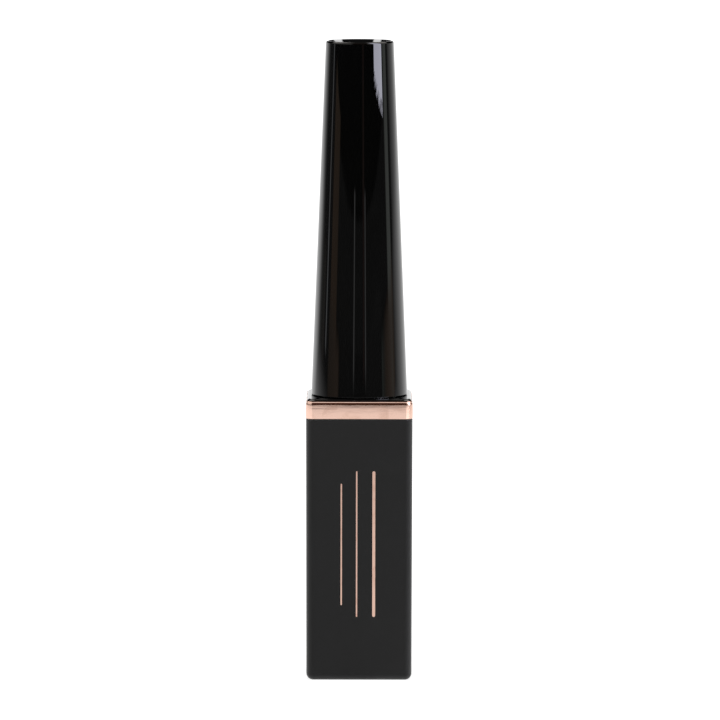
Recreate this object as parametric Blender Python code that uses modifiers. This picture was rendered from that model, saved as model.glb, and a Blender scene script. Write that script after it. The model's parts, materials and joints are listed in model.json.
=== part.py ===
"""A dip-brush liquid eyeliner bottle: a square matte bottle with a metal trim ring and a tall round screw cap.

The origin is at the centre of the base, with +Z up the bottle. Lengths are in metres. The cap is modelled screwed down,
with the brush standing in the ink.
"""

import math

import bmesh
import bpy
from mathutils import Vector

MM = 0.001

# Driving dimensions, read from the photograph's proportions and a nominal fill of 3 ml
CASE_HEIGHT = 37.6 * MM
CASE_WIDTH = 15.25 * MM  # at the rim
CASE_DRAFT = 0.08 * MM  # how far each side leans in by the foot
CASE_CORNER_RADIUS = 1.05 * MM
COLLAR_HEIGHT = 2.52 * MM
CAP_HEIGHT = 50.8 * MM
CAP_INSET = 0.71 * MM  # from the case's side to the cap's foot
CAP_TOP_DIAMETER = 9.73 * MM

# Clearances
SEAM = 0.08 * MM  # the fine line between pieces stacked on each other
FIT_GAP = 0.12 * MM  # each side of a piece pushed into another
RUNNING_GAP = 0.08 * MM  # each side of a piece that moves in another
OVERRUN = 1.0 * MM  # how far a cutter runs past what it cuts

# Square case
CASE_WALL = 1.1 * MM
CASE_FLOOR = 1.2 * MM
CASE_RIM_CHAMFER = 0.06 * MM
CASE_RECESS_DEPTH = 0.25 * MM
CASE_RECESS_BORDER = 2.1 * MM
CASE_RECESS_CORNER = 1.2 * MM

# Metal trim ring
COLLAR_PROUD = 0.05 * MM  # how far it stands out from the case on each side
COLLAR_TOP_FILLET = 0.3 * MM
COLLAR_FOOT_FILLET = 0.1 * MM

# Shoulder plate, whose plug goes down through the ring into the case
FLANGE_SETBACK = 0.15 * MM
FLANGE_THICKNESS = 0.22 * MM
FLANGE_SLOPE = 0.3 * MM  # how far its edge slopes in from foot to top
FLANGE_FILLET = 0.12 * MM
FLANGE_EDGE_FILLET = 0.06 * MM
PLUG_LENGTH = 4.6 * MM
PLUG_CORNER_RADIUS = 0.5 * MM
SNAP_DEPTH = 0.2 * MM
SNAP_HEIGHT = 0.5 * MM
SNAP_RISE = 0.6 * MM  # from the plug's foot to the snap bead's
BOSS_RISE = 0.6 * MM
BOSS_PLAY = 0.2 * MM  # between the centring boss and the cap's inner wall

# Inner vial
VIAL_WALL = 0.8 * MM
VIAL_FLOOR = 0.9 * MM
VIAL_FOOT_FILLET = 1.0 * MM
VIAL_CONE_DROP = 2.7 * MM  # from the case's rim down to where the vial narrows
VIAL_CONE_HEIGHT = 2.0 * MM
VIAL_CONE_FILLET = 0.5 * MM
NECK_WALL = 0.85 * MM
NECK_RISE = 7.0 * MM  # above the shoulder plate
NECK_RIM_FILLET = 0.2 * MM
THREAD_DEPTH = 0.5 * MM
THREAD_PLAY = 0.2 * MM  # between the thread's crest and the bores that pass over it

# Wiper, the soft plug in the neck
WIPER_FLANGE_OVERLAP = 0.75 * MM  # how far its flange lies over the rim
WIPER_FLANGE_THICKNESS = 0.5 * MM
WIPER_WALL = 0.55 * MM
WIPER_BARREL_LENGTH = 4.6 * MM
WIPER_SNOUT_LENGTH = 3.4 * MM
WIPER_LIP_THICKNESS = 0.4 * MM
WIPER_LIP_LENGTH = 0.5 * MM
WIPER_FILLET = 0.12 * MM

# Mixing ball
BALL_DIAMETER = 2.4 * MM

# Cap shell
CAP_WALL = 1.1 * MM
CAP_TOP_WALL = 1.6 * MM
CAP_TOP_FILLET = 0.28 * MM
CAP_FOOT_FILLET = 0.12 * MM
CAP_INNER_FILLET = 0.8 * MM

# Threaded insert inside the cap
INSERT_LIFT = 0.3 * MM  # above the centring boss
INSERT_WALL = 0.55 * MM
INSERT_RIB_HEIGHT = 0.2 * MM  # at the top of the bore, where the shell is narrowest
INSERT_CEILING = 0.9 * MM
INSERT_FOOT_RING = 0.7 * MM
INSERT_RIB_COUNT = 8
INSERT_RIB_THICKNESS = 0.8 * MM
INSERT_GUSSET_COUNT = 4
INSERT_GUSSET_THICKNESS = 0.7 * MM
SOCKET_WALL = 0.9 * MM
SOCKET_ROOF = 0.8 * MM

# Seal washer on the rim
WASHER_THICKNESS = 0.8 * MM
WASHER_PLAY = 0.3 * MM  # inside the insert's bore

# Stem
STEM_FLANGE_THICKNESS = 0.8 * MM
STEM_PLUG_DIAMETER = 3.9 * MM
STEM_PLUG_LENGTH = 5.2 * MM
STEM_PLUG_CHAMFER = 0.4 * MM
STEM_TOP_DIAMETER = 2.5 * MM
STEM_FOOT_DIAMETER = 2.2 * MM
STEM_NOSE_LENGTH = 1.0 * MM
STEM_NOSE_DIAMETER = 2.0 * MM
STEM_FILLET = 0.15 * MM

# Ferrule and bristles
FERRULE_DIAMETER = 1.3 * MM
FERRULE_WALL = 0.12 * MM
FERRULE_LENGTH = 3.8 * MM
FERRULE_EXPOSED = 0.9 * MM
FERRULE_CRIMP_DEPTH = 0.06 * MM
FERRULE_CRIMP_HEIGHT = 0.3 * MM
TUFT_ROOT_PLAY = 0.05 * MM  # each side of the bristles in the ferrule
TUFT_ROOT_LENGTH = 2.6 * MM
TUFT_LENGTH = 7.0 * MM  # what shows below the ferrule
TUFT_BELLY_DIAMETER = 1.2 * MM
TUFT_TIP_DIAMETER = 0.12 * MM
TIP_CLEARANCE = 4.3 * MM  # from the tip of the bristles to the vial's floor

# Facets of the round pieces
CAP_STEPS = 64
ROUND_STEPS = 48
STEM_STEPS = 32
FINE_STEPS = 24
ARC_STEPS = 3
CORNER_STEPS = 6
TUFT_STEPS = 12
BALL_RINGS = 12
WELD = 1e-6
SMOOTH_ANGLE = math.radians(35)

# Share of the tuft's length at which it is widest, and how its outline swells and comes to its point
BELLY_SHARE = 0.34
POINT_SHARE = 1.7

# The case's foot is rounded by this share of its corners
FOOT_SHARE = 0.9

# Heights up the stack, from the base
PLATE_FOOT = CASE_HEIGHT + SEAM + COLLAR_HEIGHT + SEAM
PLATE_TOP = PLATE_FOOT + FLANGE_THICKNESS
CAP_FOOT = PLATE_TOP + SEAM
RIM = PLATE_TOP + NECK_RISE
WIPER_TOP = RIM + SEAM + WIPER_FLANGE_THICKNESS
WASHER_FOOT = WIPER_TOP + SEAM
STEM_FLANGE_FOOT = WASHER_FOOT + WASHER_THICKNESS + SEAM
CEILING = STEM_FLANGE_FOOT + STEM_FLANGE_THICKNESS + SEAM
VIAL_FOOT = CASE_FLOOR + SEAM
INK_FLOOR = VIAL_FOOT + VIAL_FLOOR
FERRULE_FOOT = INK_FLOOR + TIP_CLEARANCE + TUFT_LENGTH
STEM_FOOT = FERRULE_FOOT + FERRULE_EXPOSED

# Sizes that follow from their neighbours, from the case inwards
CASE_FOOT_FILLET = CASE_CORNER_RADIUS * FOOT_SHARE
COLLAR_WIDTH = CASE_WIDTH + 2 * COLLAR_PROUD
PLUG_WIDTH = CASE_WIDTH - 2 * (CASE_WALL + FIT_GAP)
PLATE_WIDTH = COLLAR_WIDTH - 2 * FLANGE_SETBACK
PLUG_FOOT = PLATE_FOOT - PLUG_LENGTH
VIAL_RADIUS = CASE_WIDTH / 2 - CASE_DRAFT - CASE_WALL - FIT_GAP
CONE_FOOT = CASE_HEIGHT - VIAL_CONE_DROP
CAP_BASE_RADIUS = CASE_WIDTH / 2 - CAP_INSET
CAP_TAPER = (CAP_BASE_RADIUS - CAP_TOP_DIAMETER / 2) / CAP_HEIGHT
INSERT_FOOT = PLATE_TOP + BOSS_RISE + INSERT_LIFT
INSERT_ROOF = CEILING + INSERT_CEILING
SHELL_AT_ROOF = CAP_BASE_RADIUS - (INSERT_ROOF - CAP_FOOT) * CAP_TAPER - CAP_WALL
INSERT_CORE = SHELL_AT_ROOF - FIT_GAP - INSERT_RIB_HEIGHT
PASS_RADIUS = INSERT_CORE - INSERT_WALL  # of every bore that slips over the thread
NECK_RADIUS = PASS_RADIUS - THREAD_PLAY - THREAD_DEPTH
BORE_RADIUS = NECK_RADIUS - NECK_WALL
STEM_RADIUS = STEM_TOP_DIAMETER / 2
STEM_HOLE_RADIUS = FERRULE_DIAMETER / 2 + FIT_GAP
FERRULE_TOP = FERRULE_FOOT + FERRULE_LENGTH
FERRULE_BORE = FERRULE_DIAMETER / 2 - FERRULE_WALL
TUFT_ROOT_RADIUS = FERRULE_BORE - TUFT_ROOT_PLAY


def cap_inner_radius(height):
    """Radius of the cap shell's inner wall at a height above the base."""
    return CAP_BASE_RADIUS - (height - CAP_FOOT) * CAP_TAPER - CAP_WALL


def clear_scene():
    """Removes every object of the opening scene."""
    for obj in list(bpy.data.objects):
        bpy.data.objects.remove(obj, do_unlink=True)


def make_collection(name):
    """A new collection in the scene."""
    collection = bpy.data.collections.new(name)
    bpy.context.scene.collection.children.link(collection)
    return collection


def make_material(name, colour, roughness, metallic=0.0):
    """A Principled material of one colour."""
    material = bpy.data.materials.new(name)
    material.use_nodes = True
    shader = material.node_tree.nodes["Principled BSDF"]
    shader.inputs["Base Color"].default_value = (*colour, 1.0)
    shader.inputs["Roughness"].default_value = roughness
    shader.inputs["Metallic"].default_value = metallic
    return material


def make_object(name, mesh, collection, material=None):
    """An object at the origin that holds a mesh."""
    obj = bpy.data.objects.new(name, mesh)
    collection.objects.link(obj)
    if material:
        mesh.materials.append(material)
    return obj


def make_axis(name, collection, parent=None):
    """An empty on the bottle's axis that carries the pieces of one moving body."""
    empty = bpy.data.objects.new(name, None)
    empty.empty_display_size = CASE_WIDTH
    empty.parent = parent
    collection.objects.link(empty)
    return empty


def arc_points(before, corner, after, radius):
    """Points of the arc that rounds one corner of an outline."""
    inward, outward = (before - corner).normalized(), (after - corner).normalized()
    half_angle = inward.angle(outward) / 2
    reach = radius / math.tan(half_angle)
    centre = corner + (inward + outward).normalized() * (radius / math.sin(half_angle))
    start, end = corner + inward * reach - centre, corner + outward * reach - centre
    turn = math.atan2(start.cross(end), start.dot(end))
    points = []
    for step in range(ARC_STEPS + 1):
        angle = turn * step / ARC_STEPS
        cosine, sine = math.cos(angle), math.sin(angle)
        points.append(centre + Vector((start.x * cosine - start.y * sine, start.x * sine + start.y * cosine)))
    return points


def outline_points(corners):
    """Points of an outline given as (radius, height) or (radius, height, fillet) corners."""
    points = []
    for index, (radius, height, *fillet) in enumerate(corners):
        corner = Vector((radius, height))
        if fillet:
            before = Vector(corners[index - 1][:2])
            after = Vector(corners[(index + 1) % len(corners)][:2])
            points += arc_points(before, corner, after, fillet[0])
        else:
            points.append(corner)
    return points


def turn(name, corners, collection, material=None, steps=ROUND_STEPS):
    """A solid turned about the axis from an outline that runs down its outer side.

    An outline that starts and ends on the axis stays open, and any other is closed into a ring.
    """
    points = outline_points(corners)
    count = len(points)
    closed = points[0].x > 0
    mesh = bpy.data.meshes.new(name)
    edges = [(index, (index + 1) % count) for index in range(count if closed else count - 1)]
    mesh.from_pydata([(point.x, 0.0, point.y) for point in points], edges, [])
    obj = make_object(name, mesh, collection, material)
    screw = obj.modifiers.new("Turn", "SCREW")
    screw.steps = screw.render_steps = steps
    screw.use_merge_vertices = True
    screw.merge_threshold = WELD
    screw.use_smooth_shade = True
    return obj


def square_block(name, foot, height, foot_width, top_width, corner, collection, material=None, foot_fillet=0.0,
                 top_fillet=0.0):
    """A square block with rounded upright corners, whose foot and top edges may be rounded too."""
    mesh = bpy.data.meshes.new(name)
    form = bmesh.new()
    bmesh.ops.create_cube(form, size=1.0)
    for vertex in form.verts:
        upper = vertex.co.z > 0
        width = top_width if upper else foot_width
        vertex.co.x = math.copysign(width / 2, vertex.co.x)
        vertex.co.y = math.copysign(width / 2, vertex.co.y)
        vertex.co.z = foot + height if upper else foot
    uprights = [edge for edge in form.edges if abs(edge.verts[0].co.z - edge.verts[1].co.z) > height / 2]
    bevel_edges(form, uprights, corner, CORNER_STEPS)
    middle = foot + height / 2
    if foot_fillet:
        rims = [edge for edge in form.edges if all(vertex.co.z < middle for vertex in edge.verts)]
        bevel_edges(form, rims, foot_fillet, ARC_STEPS)
    if top_fillet:
        rims = [edge for edge in form.edges if all(vertex.co.z > middle for vertex in edge.verts)]
        bevel_edges(form, rims, top_fillet, ARC_STEPS)
    form.to_mesh(mesh)
    form.free()
    return make_object(name, mesh, collection, material)


def bevel_edges(form, edges, width, steps):
    """Rounds edges of a form."""
    bmesh.ops.bevel(form, geom=edges, offset=width, offset_type="OFFSET", segments=steps, profile=0.5, affect="EDGES")


def fin(name, inner, outer_foot, outer_top, foot, top, thickness, angle, collection):
    """A flat upright fin that stands out from the axis, whose outer edge may lean."""
    mesh = bpy.data.meshes.new(name)
    form = bmesh.new()
    bmesh.ops.create_cube(form, size=1.0)
    for vertex in form.verts:
        upper, outer = vertex.co.z > 0, vertex.co.x > 0
        reach = outer_top if upper else outer_foot
        vertex.co.x = reach if outer else inner
        vertex.co.y = math.copysign(thickness / 2, vertex.co.y)
        vertex.co.z = top if upper else foot
    form.to_mesh(mesh)
    form.free()
    obj = make_object(name, mesh, collection)
    obj.rotation_euler.z = angle
    return obj


def combine(obj, tool, operation):
    """Cuts an object with a tool, or joins the tool to it."""
    boolean = obj.modifiers.new(tool.name, "BOOLEAN")
    boolean.object = tool
    boolean.operation = operation
    boolean.solver = "EXACT"
    tool.hide_render = True
    tool.display_type = "WIRE"


def shade(obj):
    """Shades a mesh smooth and keeps its corners sharp."""
    obj.data.shade_smooth()
    if obj.data.polygons:
        obj.data.set_sharp_from_angle(angle=SMOOTH_ANGLE)


def make_case(parts, tools, material):
    """The square outer case: open at the top, with a shallow recess under its foot and a groove for the snap."""
    foot_width = CASE_WIDTH - 2 * CASE_DRAFT
    case = square_block("outer_case", 0.0, CASE_HEIGHT, foot_width, CASE_WIDTH, CASE_CORNER_RADIUS, parts, material,
                        CASE_FOOT_FILLET, CASE_RIM_CHAMFER)
    taper = 2 * CASE_DRAFT / CASE_HEIGHT
    bore_top = CASE_HEIGHT + OVERRUN
    bore = square_block("case_bore", CASE_FLOOR, bore_top - CASE_FLOOR,
                        foot_width + taper * CASE_FLOOR - 2 * CASE_WALL, foot_width + taper * bore_top - 2 * CASE_WALL,
                        PLUG_CORNER_RADIUS + FIT_GAP, tools)
    recess_width = foot_width - 2 * CASE_RECESS_BORDER
    recess = square_block("case_recess", -OVERRUN, OVERRUN + CASE_RECESS_DEPTH, recess_width, recess_width,
                          CASE_RECESS_CORNER, tools)
    groove_width = PLUG_WIDTH + 2 * (SNAP_DEPTH + FIT_GAP)
    groove = square_block("case_groove", PLUG_FOOT + SNAP_RISE - FIT_GAP, SNAP_HEIGHT + 2 * FIT_GAP, groove_width,
                          groove_width, PLUG_CORNER_RADIUS + SNAP_DEPTH + FIT_GAP, tools)
    for tool in (bore, groove, recess):
        combine(case, tool, "DIFFERENCE")
    shade(case)
    return case


def make_collar(parts, tools, material):
    """The metal trim ring, held between the case's rim and the shoulder plate."""
    foot = CASE_HEIGHT + SEAM
    ring = square_block("collar", foot, COLLAR_HEIGHT, COLLAR_WIDTH, COLLAR_WIDTH, CASE_CORNER_RADIUS + COLLAR_PROUD,
                        parts, material, COLLAR_FOOT_FILLET, COLLAR_TOP_FILLET)
    opening = PLUG_WIDTH + 2 * FIT_GAP
    bore = square_block("collar_bore", foot - OVERRUN, COLLAR_HEIGHT + 2 * OVERRUN, opening, opening,
                        PLUG_CORNER_RADIUS + FIT_GAP, tools)
    combine(ring, bore, "DIFFERENCE")
    shade(ring)
    return ring


def make_shoulder(parts, tools, material):
    """The shoulder plate: a thin square flange, a snap plug that holds the vial down and a boss that centres the cap."""
    plate_corner = CASE_CORNER_RADIUS + COLLAR_PROUD - FLANGE_SETBACK
    plate = square_block("shoulder", PLATE_FOOT, FLANGE_THICKNESS, PLATE_WIDTH, PLATE_WIDTH - 2 * FLANGE_SLOPE,
                         plate_corner, parts, material, FLANGE_EDGE_FILLET, FLANGE_FILLET)
    bite = FLANGE_THICKNESS / 2
    plug = square_block("shoulder_plug", PLUG_FOOT, PLUG_LENGTH + bite, PLUG_WIDTH, PLUG_WIDTH, PLUG_CORNER_RADIUS,
                        tools)
    bead_width = PLUG_WIDTH + 2 * SNAP_DEPTH
    bead = square_block("shoulder_bead", PLUG_FOOT + SNAP_RISE, SNAP_HEIGHT, bead_width, bead_width,
                        PLUG_CORNER_RADIUS + SNAP_DEPTH, tools)
    boss_radius = cap_inner_radius(CAP_FOOT) - BOSS_PLAY
    boss_foot = PLATE_TOP - bite
    boss = turn("shoulder_boss", [(0.0, PLATE_TOP + BOSS_RISE), (boss_radius, PLATE_TOP + BOSS_RISE),
                                  (boss_radius, boss_foot), (0.0, boss_foot)], tools)
    for tool in (plug, bead, boss):
        combine(plate, tool, "UNION")
    slope = (VIAL_RADIUS - NECK_RADIUS) / VIAL_CONE_HEIGHT
    seat_top = CONE_FOOT + VIAL_CONE_HEIGHT + FIT_GAP * math.hypot(1, slope)
    seat_foot = PLUG_FOOT - OVERRUN
    bore_top = PLATE_TOP + BOSS_RISE + OVERRUN
    seat = turn("shoulder_bore", [(0.0, bore_top), (PASS_RADIUS, bore_top),
                                  (PASS_RADIUS, seat_top - (PASS_RADIUS - NECK_RADIUS) / slope),
                                  (NECK_RADIUS + (seat_top - seat_foot) * slope, seat_foot), (0.0, seat_foot)], tools)
    combine(plate, seat, "DIFFERENCE")
    shade(plate)
    return plate


def make_vial(parts, material):
    """The round inner vial that holds the ink, with the neck that the cap screws on."""
    cone_top = CONE_FOOT + VIAL_CONE_HEIGHT
    inner_radius = VIAL_RADIUS - VIAL_WALL
    vial = turn("inner_vial", [
        (NECK_RADIUS, RIM, NECK_RIM_FILLET),
        (NECK_RADIUS, cone_top),
        (VIAL_RADIUS, CONE_FOOT, VIAL_CONE_FILLET),
        (VIAL_RADIUS, VIAL_FOOT, VIAL_FOOT_FILLET),
        (0.0, VIAL_FOOT),
        (0.0, INK_FLOOR),
        (inner_radius, INK_FLOOR, VIAL_FOOT_FILLET),
        (inner_radius, CONE_FOOT - VIAL_WALL / 2, VIAL_CONE_FILLET),
        (BORE_RADIUS, cone_top - VIAL_WALL / 2),
        (BORE_RADIUS, RIM),
    ], parts, material)
    return vial


def make_wiper(parts, material):
    """The soft plug in the neck: a flange on the rim, a barrel, and a snout that narrows to the wiping lip."""
    barrel = BORE_RADIUS - FIT_GAP / 2
    foot = RIM + SEAM - WIPER_BARREL_LENGTH
    lip_foot = foot - WIPER_SNOUT_LENGTH
    lip = STEM_RADIUS + RUNNING_GAP
    return turn("wiper", [
        (BORE_RADIUS + WIPER_FLANGE_OVERLAP, WIPER_TOP, WIPER_FILLET),
        (BORE_RADIUS + WIPER_FLANGE_OVERLAP, RIM + SEAM),
        (barrel, RIM + SEAM),
        (barrel, foot),
        (lip + WIPER_LIP_THICKNESS, lip_foot, WIPER_FILLET),
        (lip, lip_foot),
        (lip, lip_foot + WIPER_LIP_LENGTH),
        (barrel - WIPER_WALL, foot),
        (barrel - WIPER_WALL, WIPER_TOP, WIPER_FILLET),
    ], parts, material)


def make_ball(parts, material):
    """The steel ball that stirs the ink, lying on the vial's floor beside the wall."""
    mesh = bpy.data.meshes.new("mixing_ball")
    form = bmesh.new()
    bmesh.ops.create_uvsphere(form, u_segments=FINE_STEPS, v_segments=BALL_RINGS, radius=BALL_DIAMETER / 2)
    form.to_mesh(mesh)
    form.free()
    ball = make_object("mixing_ball", mesh, parts, material)
    reach = VIAL_RADIUS - VIAL_WALL - BALL_DIAMETER / 2 - RUNNING_GAP
    ball.location = (reach, 0.0, INK_FLOOR + BALL_DIAMETER / 2 + RUNNING_GAP)
    shade(ball)
    return ball


def make_cap_shell(parts, material):
    """The tall tapered shell of the cap, open at its foot."""
    top = CAP_FOOT + CAP_HEIGHT
    inner_top = top - CAP_TOP_WALL
    return turn("cap_shell", [
        (0.0, top),
        (CAP_TOP_DIAMETER / 2, top, CAP_TOP_FILLET),
        (CAP_BASE_RADIUS, CAP_FOOT, CAP_FOOT_FILLET),
        (cap_inner_radius(CAP_FOOT), CAP_FOOT, CAP_FOOT_FILLET),
        (cap_inner_radius(inner_top), inner_top, CAP_INNER_FILLET),
        (0.0, inner_top),
    ], parts, material, CAP_STEPS)


def make_insert(parts, tools, material):
    """The cap's threaded insert: a bore over the neck, a socket for the stem, and ribs that grip the shell."""
    core, roof = INSERT_CORE, INSERT_ROOF
    socket = STEM_PLUG_DIAMETER / 2 + RUNNING_GAP
    socket_roof = CEILING + STEM_PLUG_LENGTH + RUNNING_GAP
    tower = socket + SOCKET_WALL
    tower_top = socket_roof + SOCKET_ROOF
    ring_top = INSERT_FOOT + INSERT_FOOT_RING
    ring = cap_inner_radius(ring_top) - FIT_GAP
    insert = turn("cap_insert", [
        (0.0, tower_top), (tower, tower_top, STEM_FILLET), (tower, roof), (core, roof, STEM_FILLET), (core, ring_top),
        (ring, ring_top), (ring, INSERT_FOOT), (PASS_RADIUS, INSERT_FOOT), (PASS_RADIUS, CEILING), (socket, CEILING),
        (socket, socket_roof), (0.0, socket_roof),
    ], parts, material)
    bite = INSERT_WALL / 2
    for index in range(INSERT_RIB_COUNT):
        rib = fin(f"insert_rib_{index + 1}", core - bite, cap_inner_radius(ring_top) - FIT_GAP,
                  cap_inner_radius(roof) - FIT_GAP, ring_top - bite, roof - STEM_FILLET, INSERT_RIB_THICKNESS,
                  2 * math.pi * index / INSERT_RIB_COUNT, tools)
        combine(insert, rib, "UNION")
    for index in range(INSERT_GUSSET_COUNT):
        gusset = fin(f"insert_gusset_{index + 1}", tower - bite, core - STEM_FILLET,
                     tower + bite, roof - bite, tower_top - STEM_FILLET - bite,
                     INSERT_GUSSET_THICKNESS, 2 * math.pi * (index + 0.5) / INSERT_GUSSET_COUNT, tools)
        combine(insert, gusset, "UNION")
    shade(insert)
    return insert


def make_washer(parts, material):
    """The seal washer between the stem's flange and the wiper."""
    outer, inner = PASS_RADIUS - WASHER_PLAY, STEM_RADIUS + RUNNING_GAP
    top = WASHER_FOOT + WASHER_THICKNESS
    return turn("seal_washer", [(outer, top), (outer, WASHER_FOOT), (inner, WASHER_FOOT), (inner, top)], parts, material)


def make_stem(parts, material):
    """The stem: a plug for the insert's socket, a flange over the washer and a rod that tapers to the brush."""
    flange_top = STEM_FLANGE_FOOT + STEM_FLANGE_THICKNESS
    plug_top = flange_top + STEM_PLUG_LENGTH
    nose_top = STEM_FOOT + STEM_NOSE_LENGTH
    hole_top = FERRULE_TOP + FIT_GAP
    return turn("stem", [
        (0.0, plug_top),
        (STEM_PLUG_DIAMETER / 2 - STEM_PLUG_CHAMFER, plug_top),
        (STEM_PLUG_DIAMETER / 2, plug_top - STEM_PLUG_CHAMFER),
        (STEM_PLUG_DIAMETER / 2, flange_top),
        (PASS_RADIUS - WASHER_PLAY, flange_top, STEM_FILLET),
        (PASS_RADIUS - WASHER_PLAY, STEM_FLANGE_FOOT, STEM_FILLET),
        (STEM_RADIUS, STEM_FLANGE_FOOT),
        (STEM_FOOT_DIAMETER / 2, nose_top),
        (STEM_NOSE_DIAMETER / 2, STEM_FOOT, STEM_FILLET),
        (STEM_HOLE_RADIUS, STEM_FOOT),
        (STEM_HOLE_RADIUS, hole_top),
        (0.0, hole_top),
    ], parts, material, STEM_STEPS)


def make_ferrule(parts, material):
    """The crimped metal sleeve that holds the bristles in the end of the stem."""
    radius = FERRULE_DIAMETER / 2
    crimp = radius - FERRULE_CRIMP_DEPTH
    crimp_foot = FERRULE_FOOT + FERRULE_EXPOSED / 2 - FERRULE_CRIMP_HEIGHT / 2
    crimp_middle = crimp_foot + FERRULE_CRIMP_HEIGHT / 2
    return turn("brush_ferrule", [
        (radius, FERRULE_TOP), (radius, crimp_foot + FERRULE_CRIMP_HEIGHT), (crimp, crimp_middle), (radius, crimp_foot),
        (radius, FERRULE_FOOT), (FERRULE_BORE, FERRULE_FOOT), (FERRULE_BORE, FERRULE_TOP),
    ], parts, material, FINE_STEPS)


def tuft_radius(share):
    """Radius of the bristles at a share of their length below the ferrule."""
    belly, tip = TUFT_BELLY_DIAMETER / 2, TUFT_TIP_DIAMETER / 2
    if share < BELLY_SHARE:
        swell = math.sin(math.pi / 2 * share / BELLY_SHARE)
        return TUFT_ROOT_RADIUS + (belly - TUFT_ROOT_RADIUS) * swell
    fall = (share - BELLY_SHARE) / (1 - BELLY_SHARE)
    return tip + (belly - tip) * (1 - fall**POINT_SHARE)


def make_tuft(parts, material):
    """The pointed bundle of bristles, as one closed form."""
    root_top = FERRULE_FOOT + TUFT_ROOT_LENGTH
    corners = [(0.0, root_top), (TUFT_ROOT_RADIUS, root_top)]
    for step in range(TUFT_STEPS + 1):
        share = step / TUFT_STEPS
        corners.append((tuft_radius(share), FERRULE_FOOT - TUFT_LENGTH * share))
    corners.append((0.0, FERRULE_FOOT - TUFT_LENGTH))
    return turn("brush_tuft", corners, parts, material, FINE_STEPS)


def main():
    """Builds the bottle and its cap."""
    clear_scene()
    parts = make_collection("liquid_eyeliner_bottle")
    tools = make_collection("cutters")
    matte_black = make_material("matte_black", (0.023, 0.023, 0.024), 0.62)
    gloss_black = make_material("gloss_black", (0.004, 0.004, 0.005), 0.08)
    rose_gold = make_material("rose_gold", (0.83, 0.55, 0.44), 0.16, 1.0)
    clear_resin = make_material("clear_resin", (0.72, 0.72, 0.70), 0.12)
    soft_resin = make_material("soft_resin", (0.80, 0.80, 0.77), 0.45)
    moulded_black = make_material("moulded_black", (0.02, 0.02, 0.02), 0.4)
    seal_foam = make_material("seal_foam", (0.86, 0.86, 0.84), 0.8)
    steel = make_material("steel", (0.62, 0.62, 0.63), 0.2, 1.0)
    bristle = make_material("bristle", (0.03, 0.024, 0.022), 0.5)

    seal_axis = make_axis("seal_axis", parts)
    applicator_axis = make_axis("applicator_axis", parts, seal_axis)
    cap_axis = make_axis("cap_axis", parts, applicator_axis)

    make_case(parts, tools, matte_black)
    make_collar(parts, tools, rose_gold)
    make_shoulder(parts, tools, gloss_black)
    make_vial(parts, clear_resin)
    make_wiper(parts, soft_resin)
    make_ball(parts, steel)
    make_washer(parts, seal_foam).parent = seal_axis
    for piece in (make_stem(parts, moulded_black), make_ferrule(parts, steel), make_tuft(parts, bristle)):
        piece.parent = applicator_axis
    for piece in (make_cap_shell(parts, gloss_black), make_insert(parts, tools, moulded_black)):
        piece.parent = cap_axis


if __name__ == "__main__":
    main()
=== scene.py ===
"""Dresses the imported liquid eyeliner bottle: its fine meshes, its finishes, a plain studio and the camera.

Lengths are in metres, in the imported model's own frame: the origin is at the centre of the base, +Z runs up the bottle
and -Y comes out of the face that the camera sees.
"""

from __future__ import annotations

import json
import logging
import math
import random
from collections.abc import Callable, Sequence
from dataclasses import dataclass
from enum import Enum

import bmesh
import bpy
from mathutils import Matrix, Vector

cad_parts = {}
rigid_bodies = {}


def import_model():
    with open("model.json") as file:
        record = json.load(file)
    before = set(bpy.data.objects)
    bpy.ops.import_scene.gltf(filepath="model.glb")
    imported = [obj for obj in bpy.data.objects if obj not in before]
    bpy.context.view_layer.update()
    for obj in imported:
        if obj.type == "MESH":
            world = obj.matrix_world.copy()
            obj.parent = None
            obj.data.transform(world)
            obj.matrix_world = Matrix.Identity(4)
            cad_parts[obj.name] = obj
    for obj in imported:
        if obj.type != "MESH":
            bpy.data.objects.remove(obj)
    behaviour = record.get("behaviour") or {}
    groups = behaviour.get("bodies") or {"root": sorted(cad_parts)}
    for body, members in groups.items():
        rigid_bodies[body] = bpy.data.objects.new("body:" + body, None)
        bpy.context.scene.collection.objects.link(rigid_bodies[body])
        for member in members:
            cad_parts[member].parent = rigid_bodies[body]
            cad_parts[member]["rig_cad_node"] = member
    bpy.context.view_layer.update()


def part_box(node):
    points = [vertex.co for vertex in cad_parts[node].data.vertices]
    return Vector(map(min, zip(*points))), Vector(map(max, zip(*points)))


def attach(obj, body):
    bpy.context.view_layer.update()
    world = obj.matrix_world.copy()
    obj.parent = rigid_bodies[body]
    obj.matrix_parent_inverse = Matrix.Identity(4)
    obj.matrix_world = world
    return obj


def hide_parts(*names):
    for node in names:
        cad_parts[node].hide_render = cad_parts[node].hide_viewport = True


log = logging.getLogger("eyeliner_bottle")

MM = 0.001
WELD = 0.001 * MM
SMOOTH_ANGLE = math.radians(32)
FULL_TURN = 2 * math.pi
GOLDEN_ANGLE = math.pi * (3 - math.sqrt(5))

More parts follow.
